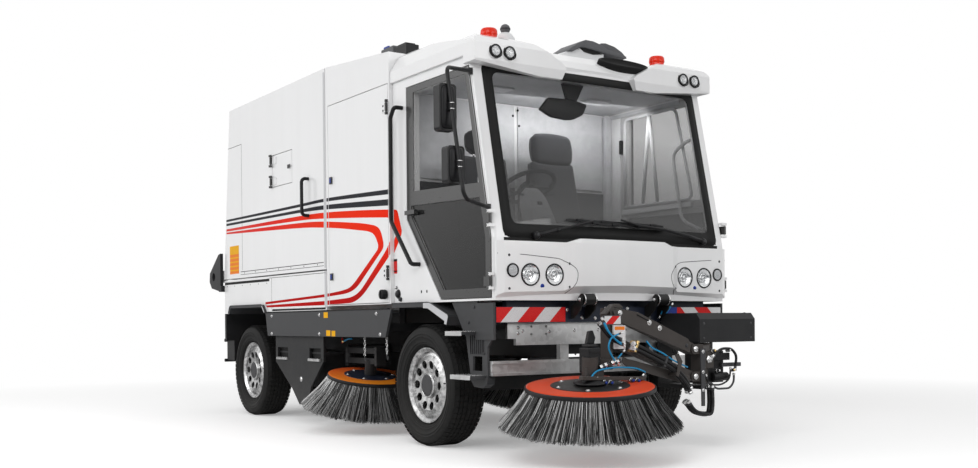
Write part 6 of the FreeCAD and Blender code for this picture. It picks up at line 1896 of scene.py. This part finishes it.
class SWEEPER_OT_front_arm(bpy.types.Operator):
    """Fit pipes, plates, pins and the motor's details to the front arm"""
    bl_idname = "sweeper.front_arm"
    bl_label = "Fit the front arm"

    def execute(self, context):
        head, lower, upper, post, cover = Shape(), Shape(), Shape(), Shape(), Shape()
        link_plates(upper, lower)
        pipe_sleeve(lower)
        lower.piece("arm_pipes", "front_lower_link", "black_paint")
        upper.piece("upper_link_plate", "front_upper_link", "cast_metal")
        head_markers(head)
        motor(head)
        valve_block(head)
        head_pipes(head)
        head.piece("head_details", "front_head", "cast_metal")
        post_blocks(post)
        post_pipes(post)
        post.piece("post_details", "front_post", "cast_metal")
        cover_fixings(cover)
        cover.piece("cover_screws", "vehicle", "dark_grey_paint")
        return {"FINISHED"}


# ---- roof and mirrors

def scoops(shape):
    """Arched scoops over a white foot."""
    arch = [(-0.067, 2.786), (-0.035, 2.814), (-0.002, 2.833), (0.045, 2.864), (0.097, 2.884), (0.163, 2.883),
        (0.246, 2.865), (0.297, 2.839), (0.382, 2.83), (0.485, 2.809), (0.433, 2.794), (0.33, 2.803),
        (0.28, 2.81), (0.196, 2.819), (0.12, 2.826), (0.055, 2.827), (0.031, 2.814), (-0.02, 2.788)]
    shape.prism(arch, "yz", 0.19, 0.42, "moulding", 0.006, smooth=True)
    foot = [(-0.105, 2.771), (0.008, 2.811), (0.055, 2.825), (0.196, 2.817), (0.28, 2.808), (0.276, 2.755),
        (0.289, 2.727), (-0.105, 2.727)]
    shape.prism(foot, "yz", 0.17, 0.4, "white", 0.01)
    shape.prism([(0.06, 2.822), (0.19, 2.815), (0.262, 2.803), (0.18, 2.79), (0.09, 2.8)], "yz", 0.398, 0.4065,
        "seal", 0.002)
    shape.prism([(0.29, 2.855), (0.31, 2.896), (0.34, 2.917), (0.379, 2.922), (0.465, 2.907), (0.535, 2.876),
        (0.587, 2.835), (0.56, 2.826), (0.47, 2.842), (0.4, 2.85), (0.33, 2.848)], "yz", 0.09, 0.3, "moulding",
        0.006, smooth=True)
    shape.prism([(0.3, 2.785), (0.3, 2.85), (0.54, 2.835), (0.56, 2.785)], "yz", 0.105, 0.285, "moulding", 0.004)


def intake(shape):
    """Oval intake in the slope of the roof's front."""
    lean = Matrix.Translation((0.612, 0.28, 2.69)) @ rotated(38, "Y")
    rings = [[lean @ Vector((0.06 * share * sin(t), 0.228 * share * cos(t), level)) for t in angles(64)]
        for share, level in ((1.0, -0.06), (1.0, 0.006), (0.97, 0.012), (0.92, 0.008), (0.86, -0.006),
        (0.3, -0.014))]
    shape.loft(rings, "seal", smooth=True)


def camera_dome(shape):
    """Camera dome and its ball."""
    shape.knob([(0.075, -0.075), (0.074, -0.03), (0.064, 0.004), (0.044, 0.03), (0.03, 0.04)],
        (0.38, -0.58, 2.808), UP, "white", 40)
    ball = [(0.0345 * sin(pi * k / 12), 2.874 - 0.0345 * cos(pi * k / 12)) for k in range(1, 12)]
    shape.turned([(0.0, 2.8395)] + ball + [(0.0, 2.9085)], (0.38, -0.58, 0.0), UP, "moulding", 32)
    shape.turned([(0.0352, 2.868), (0.0362, 2.87), (0.0362, 2.878), (0.0352, 2.88)], (0.38, -0.58, 0.0), UP,
        "cap", 32)


def housing_top(shape):
    """Small units on the housing's top."""
    for x0, x1, z0, z1, coat in ((-0.83, -0.64, 2.83, 2.94, "moulding"), (-0.815, -0.735, 2.925, 2.96, "blue"),
            (-0.725, -0.665, 2.925, 2.95, "steel"), (-0.62, -0.44, 2.82, 2.915, "black"),
            (-0.6, -0.47, 2.905, 2.93, "black")):
        inset = 0.0 if z0 < 2.84 else 0.012
        shape.box((x0, -0.898 + inset, z0), (x1, -0.788 - inset, z1), coat, 0.008)
    for y in (-0.62, 0.62):
        shape.tube([(-0.4, y, 2.8395), (0.0, y, 2.806), (0.24, y, 2.76)], 0.004, "seal", 8, 0.1)
    shape.tube([(-1.44, 0.8, 2.9175), (-0.46, 0.8, 2.8345)], 0.006, "seal", 8)


def mirror_details():
    """Glass, domed backs and clips of the outside mirrors."""
    mirrors = Shape()
    y = -(CAB + 0.306)
    for x, z, high in ((0.8, 2.19, 0.29), (0.89, 1.825, 0.23)):
        half_y, half_z = 0.052, high / 2 - 0.01
        outline = [(y + half_y * copysign(abs(cos(t)) ** 0.35, cos(t)), z + half_z * copysign(abs(sin(t)) ** 0.35,
            sin(t))) for t in angles(40)]
        mirrors.prism(outline, "yz", x - 0.0365, x - 0.0345, "mirror", 0.0)
        # domed back of the head
        rings = [[(x + out, y + (py - y) * share, z + (pz - z) * share) for py, pz in outline]
            for share, out in ((1.0, 0.0345), (0.94, 0.041), (0.8, 0.046), (0.5, 0.049), (0.15, 0.05))]
        mirrors.loft(rings, "black", smooth=True)
        # the bar leans forward toward its foot
        on_bar = 0.82 + (2.44 - z) * 0.19 / 0.828
        for dz in (-0.018, 0.018):
            mirrors.tube([(on_bar - 0.002, y - 0.016, z + dz), (on_bar + 0.015, y - 0.01, z + dz),
                (on_bar + 0.019, y, z + dz), (on_bar + 0.015, y + 0.01, z + dz),
                (on_bar - 0.002, y + 0.016, z + dz)], 0.003, "steel", 8)
    mirrors.piece("mirror_details", "vehicle", "black_paint")


def cab_hinge_screws():
    """Screws of the cab doors' hinges."""
    hinges = Shape()
    for side in (-1, 1):
        for z in (1.122, 1.52):
            start = cab_x(z - 0.054) - 0.021
            for dz in (-0.034, 0.034):
                screw(hinges, (start + 0.002, side * (CAB + 0.0272), z + dz * 1.32), (0, side, 0), 0.0045, "cap")
    hinges.piece("cab_hinge_screws", "vehicle", "white_paint")


class SWEEPER_OT_roof(bpy.types.Operator):
    """Fit the roof's scoops, intake grille and lines, the housing's top details and the mirrors' glass"""
    bl_idname = "sweeper.roof"
    bl_label = "Fit the roof and mirrors"

    def execute(self, context):
        shape = Shape()
        scoops(shape)
        intake(shape)
        camera_dome(shape)
        housing_top(shape)
        shape.piece("roof_details", "vehicle", "grey_moulding", ("roof_units",))
        mirror_details()
        cab_hinge_screws()
        return {"FINISHED"}


# ---- studio

CAMERA_AT = (6.6716, -4.9129, 0.8631)   # from the front axle
CAMERA_YAW, CAMERA_PITCH, CAMERA_ROLL = 146.4269, -0.7156, -0.4724
SHIFT_X, SHIFT_Y = 0.00034, 0.10399     # framing, as shares of the picture's width


def set_camera(scene):
    """The camera, placed by yaw, pitch and roll."""
    data = bpy.data.cameras.new("studio_camera")
    camera = bpy.data.objects.new("studio_camera", data)
    scene.collection.objects.link(camera)
    yaw, pitch, roll = (radians(v) for v in (CAMERA_YAW, CAMERA_PITCH, CAMERA_ROLL))
    forward = Vector((cos(yaw) * cos(pitch), sin(yaw) * cos(pitch), sin(pitch)))
    level = Vector((sin(yaw), -cos(yaw), 0))
    upward = level.cross(forward)
    right = level * cos(roll) + upward * sin(roll)
    up = upward * cos(roll) - level * sin(roll)
    matrix = Matrix((right, up, -forward)).transposed().to_4x4()
    matrix.translation = at_axle(*CAMERA_AT)
    camera.matrix_world = matrix
    data.sensor_width = 36.0
    data.lens = sizes().lens
    data.clip_end = 200.0
    data.shift_x, data.shift_y = SHIFT_X, SHIFT_Y
    scene.camera = camera


def lay_floor(scene):
    """A floor that reaches far behind the machine."""
    reach = 60.0
    mesh = bpy.data.meshes.new("studio_floor")
    mesh.from_pydata([(-reach, -reach, 0), (reach, -reach, 0), (reach, reach, 0), (-reach, reach, 0)], [],
        [(0, 1, 2, 3)])
    mesh.materials.append(floor_finish())
    floor = bpy.data.objects.new("studio_floor", mesh)
    scene.collection.objects.link(floor)


def hang_lamps(scene):
    """Soft boxes round the machine, and a dim one under the cab's roof."""
    # soft boxes: (name, place, aim, width, height, watts)
    for name, place, aim, width, height, watts in (("key", (5.5, -7.5, 6.5), (-1.0, 0, 1.2), 6.0, 4.0, 295),
            ("side", (-4.5, -9.0, 4.5), (-1.5, 0, 1.2), 7.0, 4.0, 285), ("top", (-0.5, 0.0, 8.5), (-0.8, 0, 0.0),
            9.0, 6.0, 95), ("front", (9.5, 2.5, 4.0), (0.0, 0, 1.3), 5.0, 4.0, 200),
            ("cab", (0.1, 0.25, 2.48), (-0.34, 0.3, 1.9), 1.2, 0.06, 7)):
        lamp = bpy.data.lights.new("softbox_" + name, "AREA")
        lamp.shape, lamp.size, lamp.size_y, lamp.energy = "RECTANGLE", width, height, watts
        holder = bpy.data.objects.new("softbox_" + name, lamp)
        scene.collection.objects.link(holder)
        start = at_axle(*place)
        holder.location = start
        holder.rotation_euler = (at_axle(*aim) - start).to_track_quat("-Z", "Y").to_euler()
        holder.visible_camera = name != "cab"
        holder.visible_glossy = name != "cab"


def floor_finish():
    """Pale floor: it takes the machine's shadow near by, and far off the camera sees it as white as the world."""
    f = Finish("studio_floor", Roughness=0.9, Specular_IOR_Level=0.0)
    x, y, _ = f.parts()
    away = (((x * x + y * y) ** 0.5 - 4.2) / 5.0).clamped()
    f.set("Base Color", f.mix(away, f.mix(f.noise(0.8), grey(0.955), grey(0.97)), grey(0.0)))
    camera = f.node("LightPath", {}, out=0)
    f.set("Emission Color", f.mix(camera, grey(0.0), f.mix(away, grey(0.27), grey(1.0))))
    f.shader.inputs["Emission Strength"].default_value = 1.0
    return f.material


def world_light(scene):
    """An even white world that the camera, glass and metal see at full strength."""
    world = bpy.data.worlds.new("studio")
    scene.world = world
    world.use_nodes = True
    tree = world.node_tree
    back = tree.nodes["Background"]
    path = tree.nodes.new("ShaderNodeLightPath")
    seen = path.outputs["Is Camera Ray"]
    for name in ("Is Transmission Ray", "Is Glossy Ray"):
        larger = tree.nodes.new("ShaderNodeMath")
        larger.operation = "MAXIMUM"
        tree.links.new(seen, larger.inputs[0])
        tree.links.new(path.outputs[name], larger.inputs[1])
        seen = larger.outputs[0]
    level = tree.nodes.new("ShaderNodeMapRange")
    level.inputs["To Min"].default_value = 0.42
    level.inputs["To Max"].default_value = 1.0
    tree.links.new(seen, level.inputs["Value"])
    tree.links.new(level.outputs["Result"], back.inputs["Strength"])
    back.inputs["Color"].default_value = (1, 1, 1, 1)


class SWEEPER_OT_studio(bpy.types.Operator):
    """Set up the floor, the soft lights, the world and the camera"""
    bl_idname = "sweeper.studio"
    bl_label = "Set up the studio"

    def execute(self, context):
        scene = context.scene
        set_camera(scene)
        scene.view_settings.view_transform = "Standard"
        lay_floor(scene)
        hang_lamps(scene)
        world_light(scene)
        return {"FINISHED"}


# ---- panel and run

class SWEEPER_PT_panel(bpy.types.Panel):
    """Sizes, colours and steps of the sweeper"""
    bl_idname = "SWEEPER_PT_panel"
    bl_label = "Street sweeper"
    bl_space_type = "VIEW_3D"
    bl_region_type = "UI"
    bl_category = "Sweeper"

    def draw(self, context):
        layout = self.layout
        for group in (context.scene.sweeper_look, context.scene.sweeper_sizes):
            for name in group.bl_rna.properties.keys():
                if name not in ("rna_type", "name"):
                    layout.prop(group, name)
        for step in STEPS:
            layout.operator(step.bl_idname)


STEPS = (SWEEPER_OT_coats, SWEEPER_OT_livery, SWEEPER_OT_tyres, SWEEPER_OT_wheel_trim, SWEEPER_OT_brushes,
    SWEEPER_OT_screen, SWEEPER_OT_cabin, SWEEPER_OT_lamps, SWEEPER_OT_side_trim, SWEEPER_OT_nose,
    SWEEPER_OT_front_arm, SWEEPER_OT_roof, SWEEPER_OT_studio)
CLASSES = (SweeperLook, SweeperSizes, SWEEPER_PT_panel) + STEPS


def register():
    for cls in CLASSES:
        bpy.utils.register_class(cls)
    bpy.types.Scene.sweeper_look = PointerProperty(type=SweeperLook)
    bpy.types.Scene.sweeper_sizes = PointerProperty(type=SweeperSizes)


def unregister():
    del bpy.types.Scene.sweeper_sizes
    del bpy.types.Scene.sweeper_look
    for cls in reversed(CLASSES):
        bpy.utils.unregister_class(cls)


def main():
    register()
    for step in STEPS:
        group, name = step.bl_idname.split(".")
        getattr(getattr(bpy.ops, group), name)()


if __name__ == "__main__":
    main()
